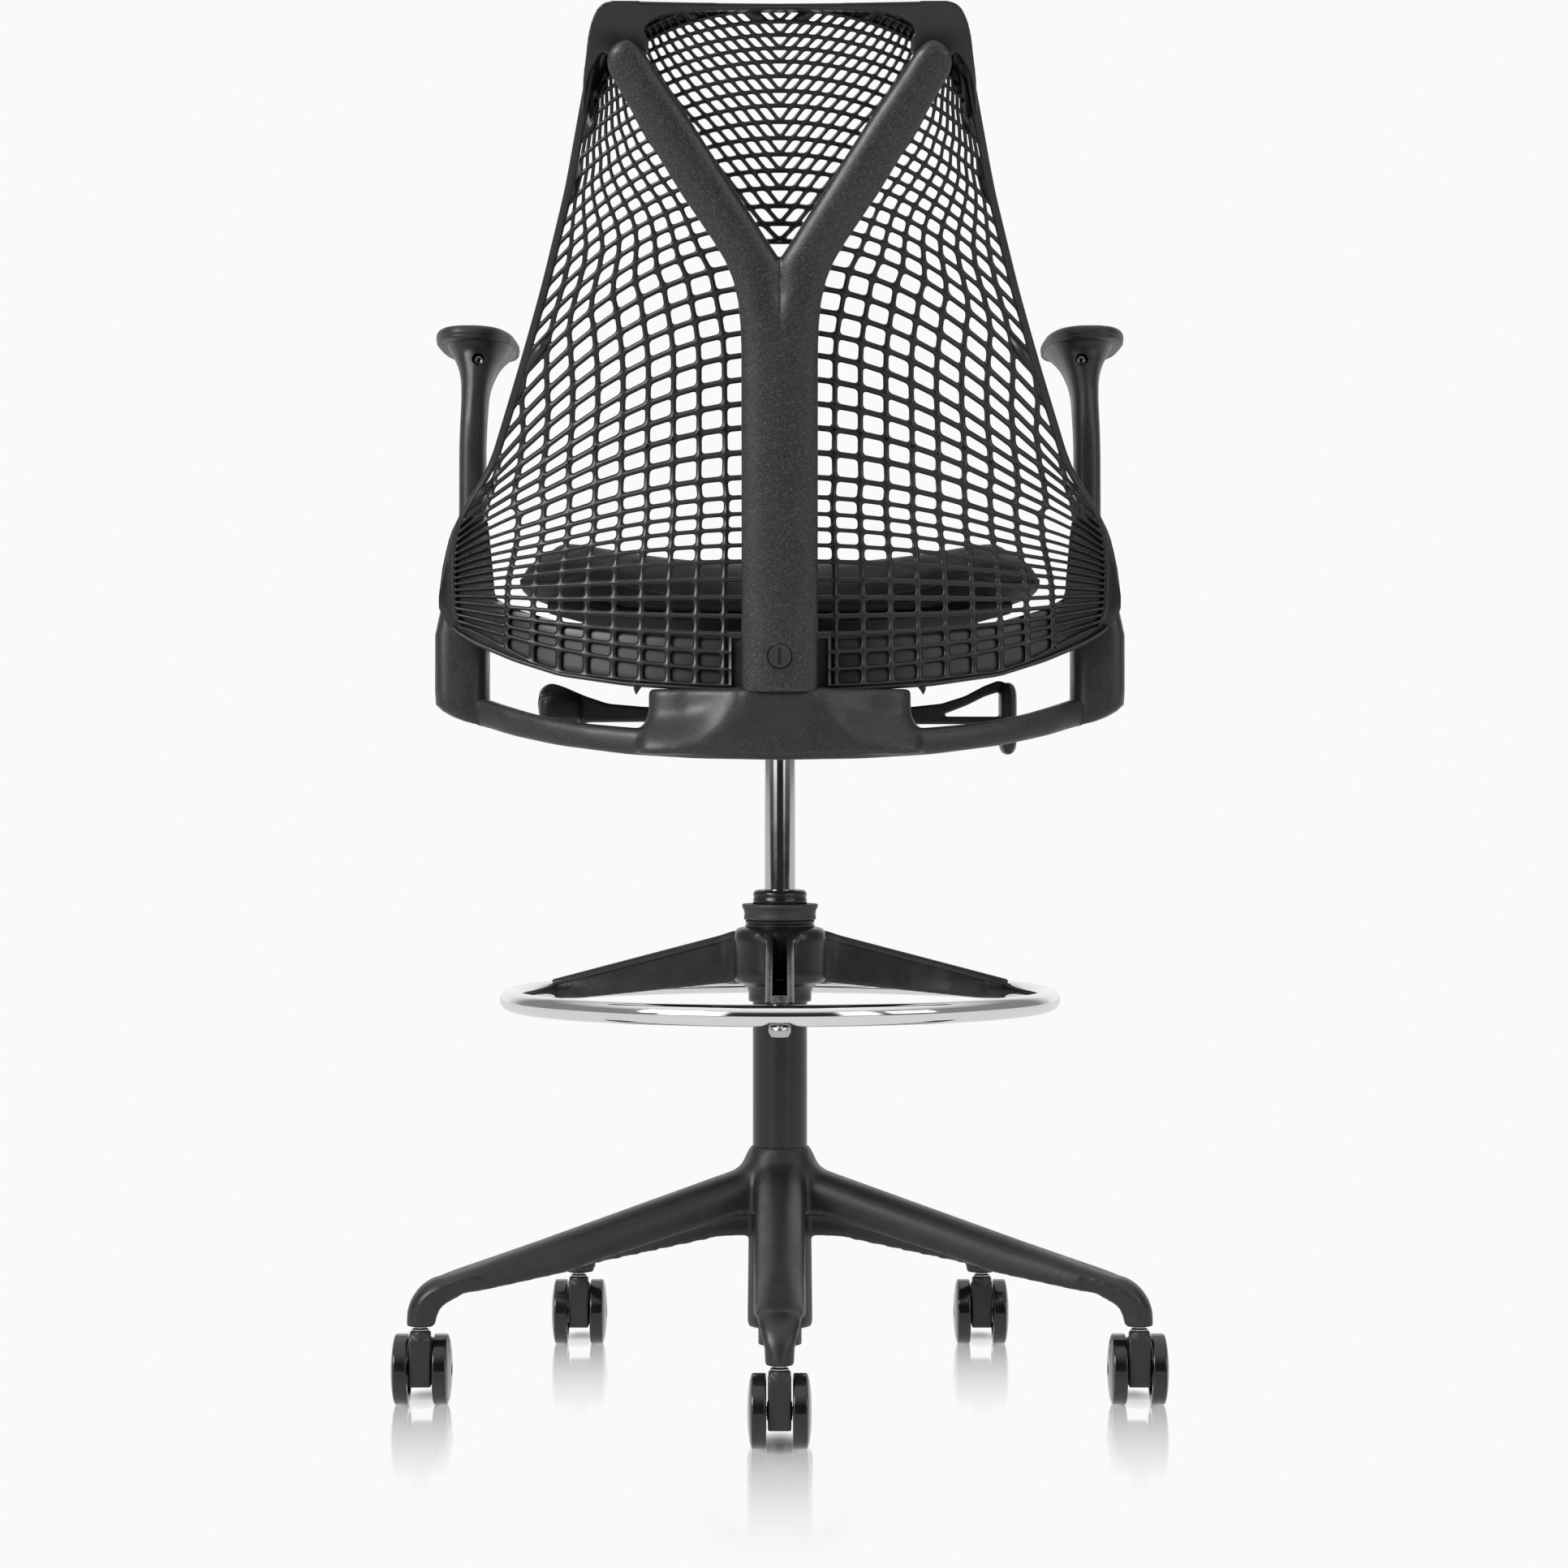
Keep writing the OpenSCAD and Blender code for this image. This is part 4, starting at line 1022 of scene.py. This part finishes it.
STEM_R, NECK_R, LEG_HALF = 338, 12.4, 22.5
SLOPE = math.tan(math.radians(17.4))


def leg_top(r):
    if r < 28:
        return 223
    if r < 43.0:
        return 223 - math.sqrt(max(22 ** 2 - (49.5 - r) ** 2, 0))
    line = 202 - SLOPE * (r - 43)
    if r > 321:
        return 76 + math.sqrt(max(42 ** 2 - (r - 308.7) ** 2, 0)) if r < 350.6 else 78
    return line


LEG_LOW = [(0, 163), (48, 163), (182, 126), (205, 118), (303, 101), (313, 95), (318, 92), (324, 87),
           (326, 76), (327, 72)]


def leg_half(r):
    if r < 310:
        return LEG_HALF
    return LEG_HALF * math.sqrt(max(1 - ((r - 310) / 41.2) ** 2, 0.01))


def leg_wall(r, z):
    """Half width that the end of a leg may have at a height: it narrows downwards to a round neck."""
    neck = math.sqrt(max(NECK_R ** 2 - max(r - STEM_R, 0) ** 2, 4))
    return mix(99, mix(neck, LEG_HALF + 1, step(82, 128, z)), step(262, 292, r))


def build_leg():
    rings = []
    for r in span(25.6, 260, 32) + span(264, STEM_R + NECK_R - 0.3, 40):
        top, low, half = leg_top(r), lookup(LEG_LOW, r), leg_half(r)
        shoulder = min(18.0, half * 0.8, (top - low) * 0.6)
        outline = [(half - 0.6, low)] + [(half, z) for z in span(low, top - shoulder, 7)[1:-1]]
        for a in span(0, math.pi / 2, 6):
            outline.append((half - shoulder * (1 - math.cos(a)), top - shoulder * (1 - math.sin(a))))
        outline = [(min(y, leg_wall(r, z)), z) for y, z in outline]
        outline += [(-y, z) for y, z in reversed(outline)]
        rings.append([(r, y, z) for y, z in outline])
    body = loft(rings)
    rib = slab([(26, 142), (57, 142), (205, 117), (294, 102), (294, 119), (26, 196)], -3.5, 3.5)
    lip = lathe([(0.01, 72), (12.4, 72), (12.75, 73), (12.75, 76), (11.8, 79), (0.01, 79)], 40, STEM_R)
    return merged(body, rib, lip)


hub = lathe([(22.0, 57), (27, 57), (29.8, 58.5), (30, 60), (28.2, 222.5), (27.4, 224), (24.8, 224),
             (24.8, 100)], 96)
legs = [moved(build_leg(), angle=math.radians(-90 + 72 * i)) for i in range(5)]
base = piece("base_star", merged(hub, *legs), "base_plastic", "base", ["base_casting"])
fused(base, 2.8, 7)

# ---- Column, gas cylinder and foot ring ---------------------------------------------------------

piece("column_skin", lathe([(14, 41.3), (19.4, 41.3), (20, 42), (20, 57), (22, 58), (25, 226),
                            (25, 444.4), (24.4, 445), (22, 445), (22, 236), (19, 228), (19, 52),
                            (14, 46)], 128),
      "column_paint", "base", ["column_tube"], 40)
piece("bush_cap", lathe([(14.1, 400), (21.9, 400), (21.9, 445.4), (24.0, 445.4), (24.7, 446.2), (24.7, 451.2),
                         (24.2, 451.8), (24.2, 453.2), (24.7, 453.8), (24.6, 456), (23.2, 458.3), (20.5, 459),
                         (17, 458.4), (14.3, 456.8), (14.1, 456)], 128),
      "cap_plastic", "base", ["guide_bush"], 50)
piece("lift_cylinder", lathe([(5.0, 166), (13, 165), (14, 166), (14, 651), (13, 652), (5, 652)], 128),
      "dark_chrome", "mechanism", ["gas_cylinder"], 40)


def torus(radius, tube, z, around=200, section=28):
    rings = []
    for a in turn(around):
        circle = [(radius + tube * math.cos(b), z + tube * math.sin(b)) for b in turn(section)]
        rings.append([(r * math.cos(a), r * math.sin(a), z) for r, z in circle])
    return loft(rings, closed=True)


RING_R, RING_Z, RING_TUBE, SPOKES = 247.5, 359, 9.6, (-90, 30, 150)
SPOKE_TURNS = [math.radians(a) for a in SPOKES]
piece("ring_hoop", torus(RING_R, RING_TUBE, RING_Z), "ring_chrome", "foot_ring", ["foot_ring_tube"])

bolt = lathe([(0.01, 341.4), (5.2, 341.4), (5.8, 340.9), (7.2, 340.9), (9.2, 344.6), (9.5, 345.4),
              (9.5, 348.8), (9.0, 349.6), (4, 349.6), (4, 363), (0.01, 363)], 48)
bolts = [moved(bolt, RING_R * math.cos(a), RING_R * math.sin(a)) for a in SPOKE_TURNS]
piece("ring_bolts", merged(*bolts), "bright_steel", "foot_ring", ["foot_ring_screws"], 35)


def spoke_top(r):
    return mix(423, 369, (r - 30) / (RING_R - 30))


def spoke_foot(r):
    return lookup([(30, 373), (44, 373), (215, 353), (RING_R, 352)], r)


def flange_drop(r):
    """Height of the flange along the top of a spoke."""
    return min(6.5, (spoke_top(r) - spoke_foot(r)) * 0.45)


def hub_flare(r):
    """Extra half width where a spoke's flanges run out onto the hub."""
    return 7.5 * step(62, 40, r)


def build_spoke():
    """Open channel: two walls and a floor between them, closed at the ring."""
    out = []
    rs = span(30, RING_R - 1, 30)
    for s in (-1, 1):
        web = []
        for r in rs:
            top, foot, flare = spoke_top(r) - 1.5, spoke_foot(r), hub_flare(r)
            web.append([(r, s * a, z) for a, z in ((6.2, foot), (9.8, foot), (9.2 + flare * 0.8, top),
                                                   (6.2 + flare * 0.6, top))])
        out.append(loft(web))
    floor_rings, end = [], []
    for r in rs:
        low, high = spoke_foot(r), spoke_foot(r) + 3.5
        floor_rings.append([(r, -9, low), (r, 9, low), (r, 9, high), (r, -9, high)])
    for r in span(RING_R - 26, RING_R - 1, 5):
        low, high = spoke_foot(r), spoke_top(r)
        end.append([(r, a, z) for a, z in oval(0, (low + high) / 2, 21, high - low, 24, 4)])
    return merged(loft(floor_rings), loft(end), *out)


def build_flanges():
    """Rounded strips along the top edges of one spoke."""
    out = []
    for s in (-1, 1):
        rings = []
        for r in span(38, RING_R - 6, 40):
            low, top, flare = spoke_top(r) - flange_drop(r), spoke_top(r), hub_flare(r)
            rings.append([(r, s * a, z) for a, z in ((6.4, low), (11.9 + flare, low),
                                                     (12.7 + flare, low + 0.8), (12.8 + flare, top - 1.8),
                                                     (12.2 + flare, top - 0.7), (11.0 + flare, top),
                                                     (8.0 + flare * 0.7, top), (6.6, top - 0.8))])
        out.append(loft(rings))
    return merged(*out)


def build_spider():
    body = lathe([(25.3, 356), (28.2, 356), (28.9, 357), (28.9, 365), (30.5, 369.5), (36, 373),
                  (40.5, 374.6), (42.4, 377), (43, 383), (43, 414), (42, 420), (39, 423.4), (34, 425),
                  (25.3, 425)], 128)
    return merged(body, *[moved(build_spoke(), angle=a) for a in SPOKE_TURNS])


spider = piece("ring_spider", build_spider(), "ring_plastic", "foot_ring", ["foot_ring_hub"])
fused(spider, 1.5, 4)
flanges = [moved(build_flanges(), angle=a) for a in SPOKE_TURNS]
piece("spoke_flanges", merged(*flanges), "ring_plastic", "foot_ring", sharp=45)
piece("ring_collet", lathe([(25.25, 424.5), (31.2, 424.5), (32, 425.6), (31.9, 427), (30.7, 427.8),
                            (30.7, 428.4), (31.9, 429.2), (32, 430.4), (31, 431), (29.8, 431.4),
                            (29.8, 441), (25.25, 443)], 128),
      "ring_plastic", "foot_ring", ["foot_ring_collet"], 50)
piece("collar_nut", lathe([(30.1, 431.6), (32.6, 431.6), (33.2, 432.4), (33.0, 434.4), (32.6, 437),
                           (33.2, 440), (34.2, 442.2), (34.9, 443.4), (34.9, 445.2), (34.2, 446),
                           (26.4, 446), (26.4, 444), (30.1, 442)], 128),
      "collar_plastic", "ring_lock", ["lock_collar"], 45)

# ---- Casters ------------------------------------------------------------------------------------

WHEEL_R, HOOD_W, HOOD_LOW, TRAIL, WHEEL_GAP = 31.75, 19, 18.6, 14, 1.5


def wheel_shape():
    """Half of a twin caster: flat tread, stepped inner face and a domed outer face."""
    profile = round_corners([(4.2, 0.2), (11, 0.2), (11.2, 3), (24, 3), (24.4, 0.2), (30.8, 0.2),
                             (31.75, 1.2), (31.75, 11.6), (31.1, 12.7), (29.9, 12.9), (29.2, 13.3),
                             (25.4, 14.3), (14.3, 15.7), (6.6, 16), (6.0, 15.3), (4.2, 15.3)], 0.7, 3)
    return lathe(profile, 96)


def sideways(shape, side, x, y, z):
    """Turns a shape made about the vertical so that its axis points to one side."""
    return [(x + side * c, y + a, z + b) for a, b, c in shape[0]], shape[1]


def hood_shape():
    circle = [(TRAIL + 29 * math.sin(a), WHEEL_R + 29 * math.cos(a)) for a in span(-0.2, 2.0, 24)]
    side = [(-10.5, HOOD_LOW), (-11, 40), (-10, 60), (-7, 65)]
    return side + [(y, z) for y, z in circle if y > 8 and z > HOOD_LOW + 1.5] + [(TRAIL + 25.5, HOOD_LOW)]


def build_hood():
    profile = hood_shape()
    rings = []
    for d, inset in ((-9.9, 0.9), (-9.6, 0.3), (-9.0, 0), (9.0, 0), (9.6, 0.3), (9.9, 0.9)):
        cy, cz = TRAIL, 42
        k = 1 - inset / 26
        rings.append([(d, cy + (y - cy) * k, cz + (z - cz) * k) for y, z in profile])
    return loft(rings)


for i in range(1, 6):
    a = math.radians(-90 + 72 * (i - 1))
    cx, cy = STEM_R * math.cos(a), STEM_R * math.sin(a)
    neck = lathe([(6.1, 50), (9.6, 50), (9.6, 66.6), (8.9, 68), (7.8, 68.4), (6.1, 68.4)], 48)
    boss = sideways(lathe([(4.3, -10.8), (7.2, -10.8), (7.2, 10.8), (4.3, 10.8)], 40), 1, 0, TRAIL, WHEEL_R)
    hood = piece(f"hood_{i}", moved(merged(build_hood(), neck, boss), cx, cy), "hood_plastic",
                 f"caster_{i}", [f"caster_hood_{i}"])
    fused(hood, 0.9, 4)
    pin = lathe([(0.01, 50), (5.45, 50), (5.45, 68.4), (7.6, 68.6), (8, 69), (8, 69.7), (7.4, 70.2),
                 (6, 70.6), (5.45, 71), (5.45, 95.4), (4.9, 96), (0.01, 96)], 48)
    axle = sideways(lathe([(0.01, -24.8), (3.6, -24.8), (4, -24.4), (4, 24.4), (3.6, 24.8),
                           (0.01, 24.8)], 32), 1, 0, TRAIL,
                    WHEEL_R)
    piece(f"stem_{i}", moved(merged(pin, axle), cx, cy), "bright_steel", f"caster_{i}",
          [f"caster_pins_{i}"], 40)
    for name in ("left", "right"):
        low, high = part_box(f"wheel_{name}_{i}")
        side = -1 if (low[0] + high[0]) / 2 / MM < cx else 1
        shape = sideways(wheel_shape(), side, cx + side * (HOOD_W / 2 + WHEEL_GAP), cy + TRAIL, WHEEL_R)
        piece(f"tread_{name}_{i}", shape, "wheel_plastic", f"wheel_{name}_{i}", [f"wheel_{name}_{i}"], 32)

# ---- Mechanism, levers and knob -----------------------------------------------------------------


def softened(name, node, slot, body, width):
    """Copy of a CAD part with its edges rounded over."""
    source = frame["nodes"][node]
    mesh = source.data.copy()
    mesh.transform(source.matrix_world)
    bm = bmesh.new()
    bm.from_mesh(mesh)
    bmesh.ops.remove_doubles(bm, verts=bm.verts, dist=2e-5)
    bmesh.ops.dissolve_limit(bm, angle_limit=math.radians(1), verts=bm.verts, edges=bm.edges)
    bm.to_mesh(mesh)
    bm.free()
    mesh.materials.clear()
    mesh.materials.append(materials[slot])
    obj = placed(name, mesh)
    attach(obj, body)
    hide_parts(node)
    return bevelled(obj, width, 3, 30, 40)


softened("mechanism_case", "tilt_housing", "housing_metal", "mechanism", 1.8)
softened("mechanism_lid", "tilt_cover", "cover_plastic", "mechanism", 0.8)
softened("tension_wheel", "tension_knob", "handle_plastic", "tension_dial", 0.9)

LEVER_Y, LEVER_X, LEVER_Z = 45, 70, 640
GRIP_X, GRIP_LOW, GRIP_HIGH = 211.8, 583, 650


def grip_bar(cx, cy, width, depth, low, high):
    """Upright rounded bar."""
    rings = []
    for u in span(-1, 1, 26):
        a = u * math.pi / 2
        k = max(1 - abs(math.sin(a)) ** 7, 0.0) ** 0.5
        z = (low + high) / 2 + (high - low) / 2 * math.sin(a)
        wide, deep = max(width * k, 1.5), max(depth - width * (1 - k), 6)
        rings.append([(x, y, z) for x, y in oval(cx, cy, wide, deep, 32, 3.0)])
    return loft(rings)


def lever_pivot(side):
    return along_y(rod(5, -16, 15, 32), side * LEVER_X, LEVER_Y, LEVER_Z)


def build_height_lever():
    lower = [(64, 632), (74, 613), (112, 611.3), (206, 611.3), (213, 614), (213, 620), (204, 618.4),
             (142, 618.6), (112, 628), (77, 645), (64, 646)]
    upper = [(104, 614), (140, 617), (156, 622), (174, 629), (190, 637), (202, 641), (213, 642), (213, 649),
             (203, 652), (190, 647), (172, 637.5), (150, 630.5), (122, 627.5), (104, 629)]
    arms = [slab(round_corners(line, 2.5), LEVER_Y - 7, LEVER_Y + 7) for line in (lower, upper)]
    plate = slab([(-6, -6), (8, -6), (72, 33), (72, 53), (64, 53), (-6, 6)], 662.6, 666.4, facing_z)
    post = slab([(64, 37), (72, 37), (72, 53), (64, 53)], 636, 664, facing_z)
    grip = grip_bar(GRIP_X, LEVER_Y, 16.6, 44, GRIP_LOW, GRIP_HIGH)
    return merged(*arms, lever_pivot(1), plate, post, grip)


lever = piece("height_loop", build_height_lever(), "handle_plastic", "height_handle", ["height_lever"])
fused(lever, 1.1, 3)


def build_tilt_lever():
    outer = round_corners([(-64, 646), (-64, 634), (-74, 614), (-181, 613), (-184, 609.5), (-222, 611.5),
                           (-225.5, 630), (-223, 644), (-214, 650), (-203, 647), (-181, 637.5),
                           (-160, 630.5), (-126, 627.5), (-95, 627.5), (-77, 645)], 5)
    blade = slab(outer, LEVER_Y - 8, LEVER_Y + 8)
    wing = []
    for z in span(609, 640, 12):
        k = math.sqrt(max(1 - ((z - 624) / 15.6) ** 6, 0.02))
        wing.append([(x, y, z) for x, y in oval(-204, LEVER_Y, 40 * k, 46 * k, 40, 4)])
    return merged(blade, loft(wing), lever_pivot(-1))


paddle = piece("tilt_paddle", build_tilt_lever(), "handle_plastic", "tilt_handle", ["tilt_lever"])
fused(paddle, 1.3, 5)

# Two hooks under the band that hold the lattice's lower edge
for s, name in SIDES:
    x, z = s * 124, lookup(BAND_LOW, 124)
    y = lattice_y(x, z) + 4
    hook = slab([(x - s * 7, z + 5), (x + s * 4, z + 5), (x + s * 3, z - 3), (x + s * 1.2, z - 7),
                 (x - s * 1, z - 3.5)],
                y - 4, y + 4)
    bevelled(piece(f"band_hook_{name}", hook, "band_plastic", "back"), 0.8)

# ---- Floor, light and camera --------------------------------------------------------------------


PALE = 0.955
# Floor in metres: half width of the painted glossy strip before a wheel pair and where it has faded out, its
# length towards the viewer, and the half width and half depth of the painted shadow under the wheels
STRIP_HALF, STRIP_END, STRIP_LENGTH = 0.034, 0.062, 0.50
SHADOW_HALF, SHADOW_REACH = 0.024, 0.06


def greatest(tree, values):
    top = values[0]
    for value in values[1:]:
        top = maths(tree, "MAXIMUM", top, value)
    return top


def pale_to_camera(tree, other):
    """Pale where the camera looks straight at it, another brightness in reflections and as light."""
    path = node(tree, "ShaderNodeLightPath", {})
    return blended(tree, other, PALE, path.outputs["Is Camera Ray"], "FLOAT")


def floor_material():
    """Glowing pale floor. At the place where each wheel pair rests it has a painted shadow, and from there
    towards -Y a painted strip inside which its glossy shader mirrors the wheels."""
    mat = bpy.data.materials.new("studio_floor")
    mat.use_nodes = True
    tree = mat.node_tree
    tree.nodes.clear()
    axis = axes(tree)
    painted_gloss_strips, painted_shadows = [], []
    for i in range(5):
        a = math.radians(-90 + 72 * i)
        cx, cy = STEM_R * math.cos(a) * MM, (STEM_R * math.sin(a) + TRAIL) * MM
        off = maths(tree, "ABSOLUTE", maths(tree, "SUBTRACT", axis["X"], cx))
        beyond = maths(tree, "SUBTRACT", axis["Y"], cy)
        # Painted reflection strip: the glossy shader traces the reflection, but only inside this strip from
        # each wheel pair towards -Y.
        across = ranged(tree, off, 1.0, 0.0, STRIP_HALF, STRIP_END)
        ahead = maths(tree, "POWER", ranged(tree, beyond, 0.0, 1.0, -STRIP_LENGTH, 0.0), 1.6)
        past = ranged(tree, beyond, 1.0, 0.0, 0.02, 0.06)
        painted_gloss_strips.append(maths(tree, "MULTIPLY", maths(tree, "MULTIPLY", across, ahead), past))
        # Painted shadow: a dark patch in the floor's glow round the place where the wheel pair rests.
        back = maths(tree, "ABSOLUTE", maths(tree, "SUBTRACT", axis["Y"], cy + 0.03))
        round_off = [maths(tree, "POWER", maths(tree, "MULTIPLY", d, 1 / reach), 2.0)
                     for d, reach in ((off, SHADOW_HALF), (back, SHADOW_REACH))]
        painted_shadows.append(ranged(tree, maths(tree, "ADD", *round_off), 0.78, 0.0, 0.05, 1.0))
    # In reflections the far floor behind the viewer is dark
    far = ranged(tree, axis["Y"], 0.03, 0.80, -4.6, -2.6)
    outside_painted_shadows = maths(tree, "SUBTRACT", 1.0, greatest(tree, painted_shadows))
    glow = node(tree, "ShaderNodeEmission", {
        "Color": (1, 1, 1, 1), "Strength": maths(tree, "MULTIPLY", pale_to_camera(tree, far), outside_painted_shadows)})
    gloss = node(tree, "ShaderNodeBsdfGlossy", {"Color": (1, 1, 1, 1), "Roughness": 0.07})
    grazing = maths(tree, "MULTIPLY", node(tree, "ShaderNodeFresnel", {"IOR": 1.45}).outputs[0], 1.55)
    share = maths(tree, "MULTIPLY", greatest(tree, painted_gloss_strips), grazing)
    both = node(tree, "ShaderNodeMixShader", {0: share, 1: glow.outputs[0], 2: gloss.outputs[0]})
    node(tree, "ShaderNodeOutputMaterial", {"Surface": both.outputs[0]})
    return mat


FLOOR_HALF = 60.0
floor_mesh = bpy.data.meshes.new("floor")
corners = [(-1, -1), (1, -1), (1, 1), (-1, 1)]
floor_mesh.from_pydata([(FLOOR_HALF * x, FLOOR_HALF * y, 0) for x, y in corners], [], [(0, 1, 2, 3)])
floor_mesh.materials.append(floor_material())
placed("floor", floor_mesh)

world = bpy.data.worlds.new("studio")
world.use_nodes = True
bpy.context.scene.world = world
sky = world.node_tree
sky.nodes.clear()
axis = axes(sky, "Generated")
# Angle round the room, 0 towards the viewer and positive to the viewer's right
around = maths(sky, "ARCTAN2", axis["X"], maths(sky, "MULTIPLY", axis["Y"], -1.0))


def tall_light(start, end, strength, soft=2):
    """Upright soft light between two angles in degrees."""
    rise = ranged(sky, around, 0.0, strength, math.radians(start - soft), math.radians(start + soft))
    fall = ranged(sky, around, 1.0, 0.0, math.radians(end - soft), math.radians(end + soft))
    high = ranged(sky, axis["Z"], 1.0, 0.0, 0.55, 0.75)
    return maths(sky, "MULTIPLY", maths(sky, "MULTIPLY", rise, fall), high)


walls = ranged(sky, maths(sky, "ABSOLUTE", around), 0.03, 0.27, math.radians(22), math.radians(52))
above = ranged(sky, axis["Z"], 0.0, 1.0, 0.45, 0.85)
behind = ranged(sky, axis["Y"], 0.0, PALE, 0.6, 0.86)
light = greatest(sky, [walls, above, behind, tall_light(-50, -23, 2.2), tall_light(25, 41, 1.8)])
room = node(sky, "ShaderNodeBackground", {"Color": (1, 1, 1, 1), "Strength": pale_to_camera(sky, light)})
node(sky, "ShaderNodeOutputWorld", {"Surface": room.outputs[0]})


def softbox(name, place, target, width, energy):
    lamp = bpy.data.lights.new(name, "AREA")
    lamp.size, lamp.energy = width, energy
    obj = placed(name, lamp)
    obj.location = place
    obj.rotation_euler = (Vector(target) - Vector(place)).to_track_quat("-Z", "Y").to_euler()
    obj.visible_camera = False


softbox("key", (-2.6, -2.4, 2.3), (0, -0.1, 0.7), 1.5, 105)
softbox("fill", (2.8, -2.0, 1.6), (0, -0.1, 0.7), 1.2, 14)

lens = bpy.data.cameras.new("camera")
lens.lens, lens.sensor_width, lens.shift_y = 94.1, 36.0, -0.0228
camera = placed("camera", lens)
camera.location = (0.0037, -3.770, 0.589)
camera.rotation_euler = (math.pi / 2, 0, 0)
bpy.context.scene.camera = camera
bpy.context.scene.view_settings.view_transform = "Standard"
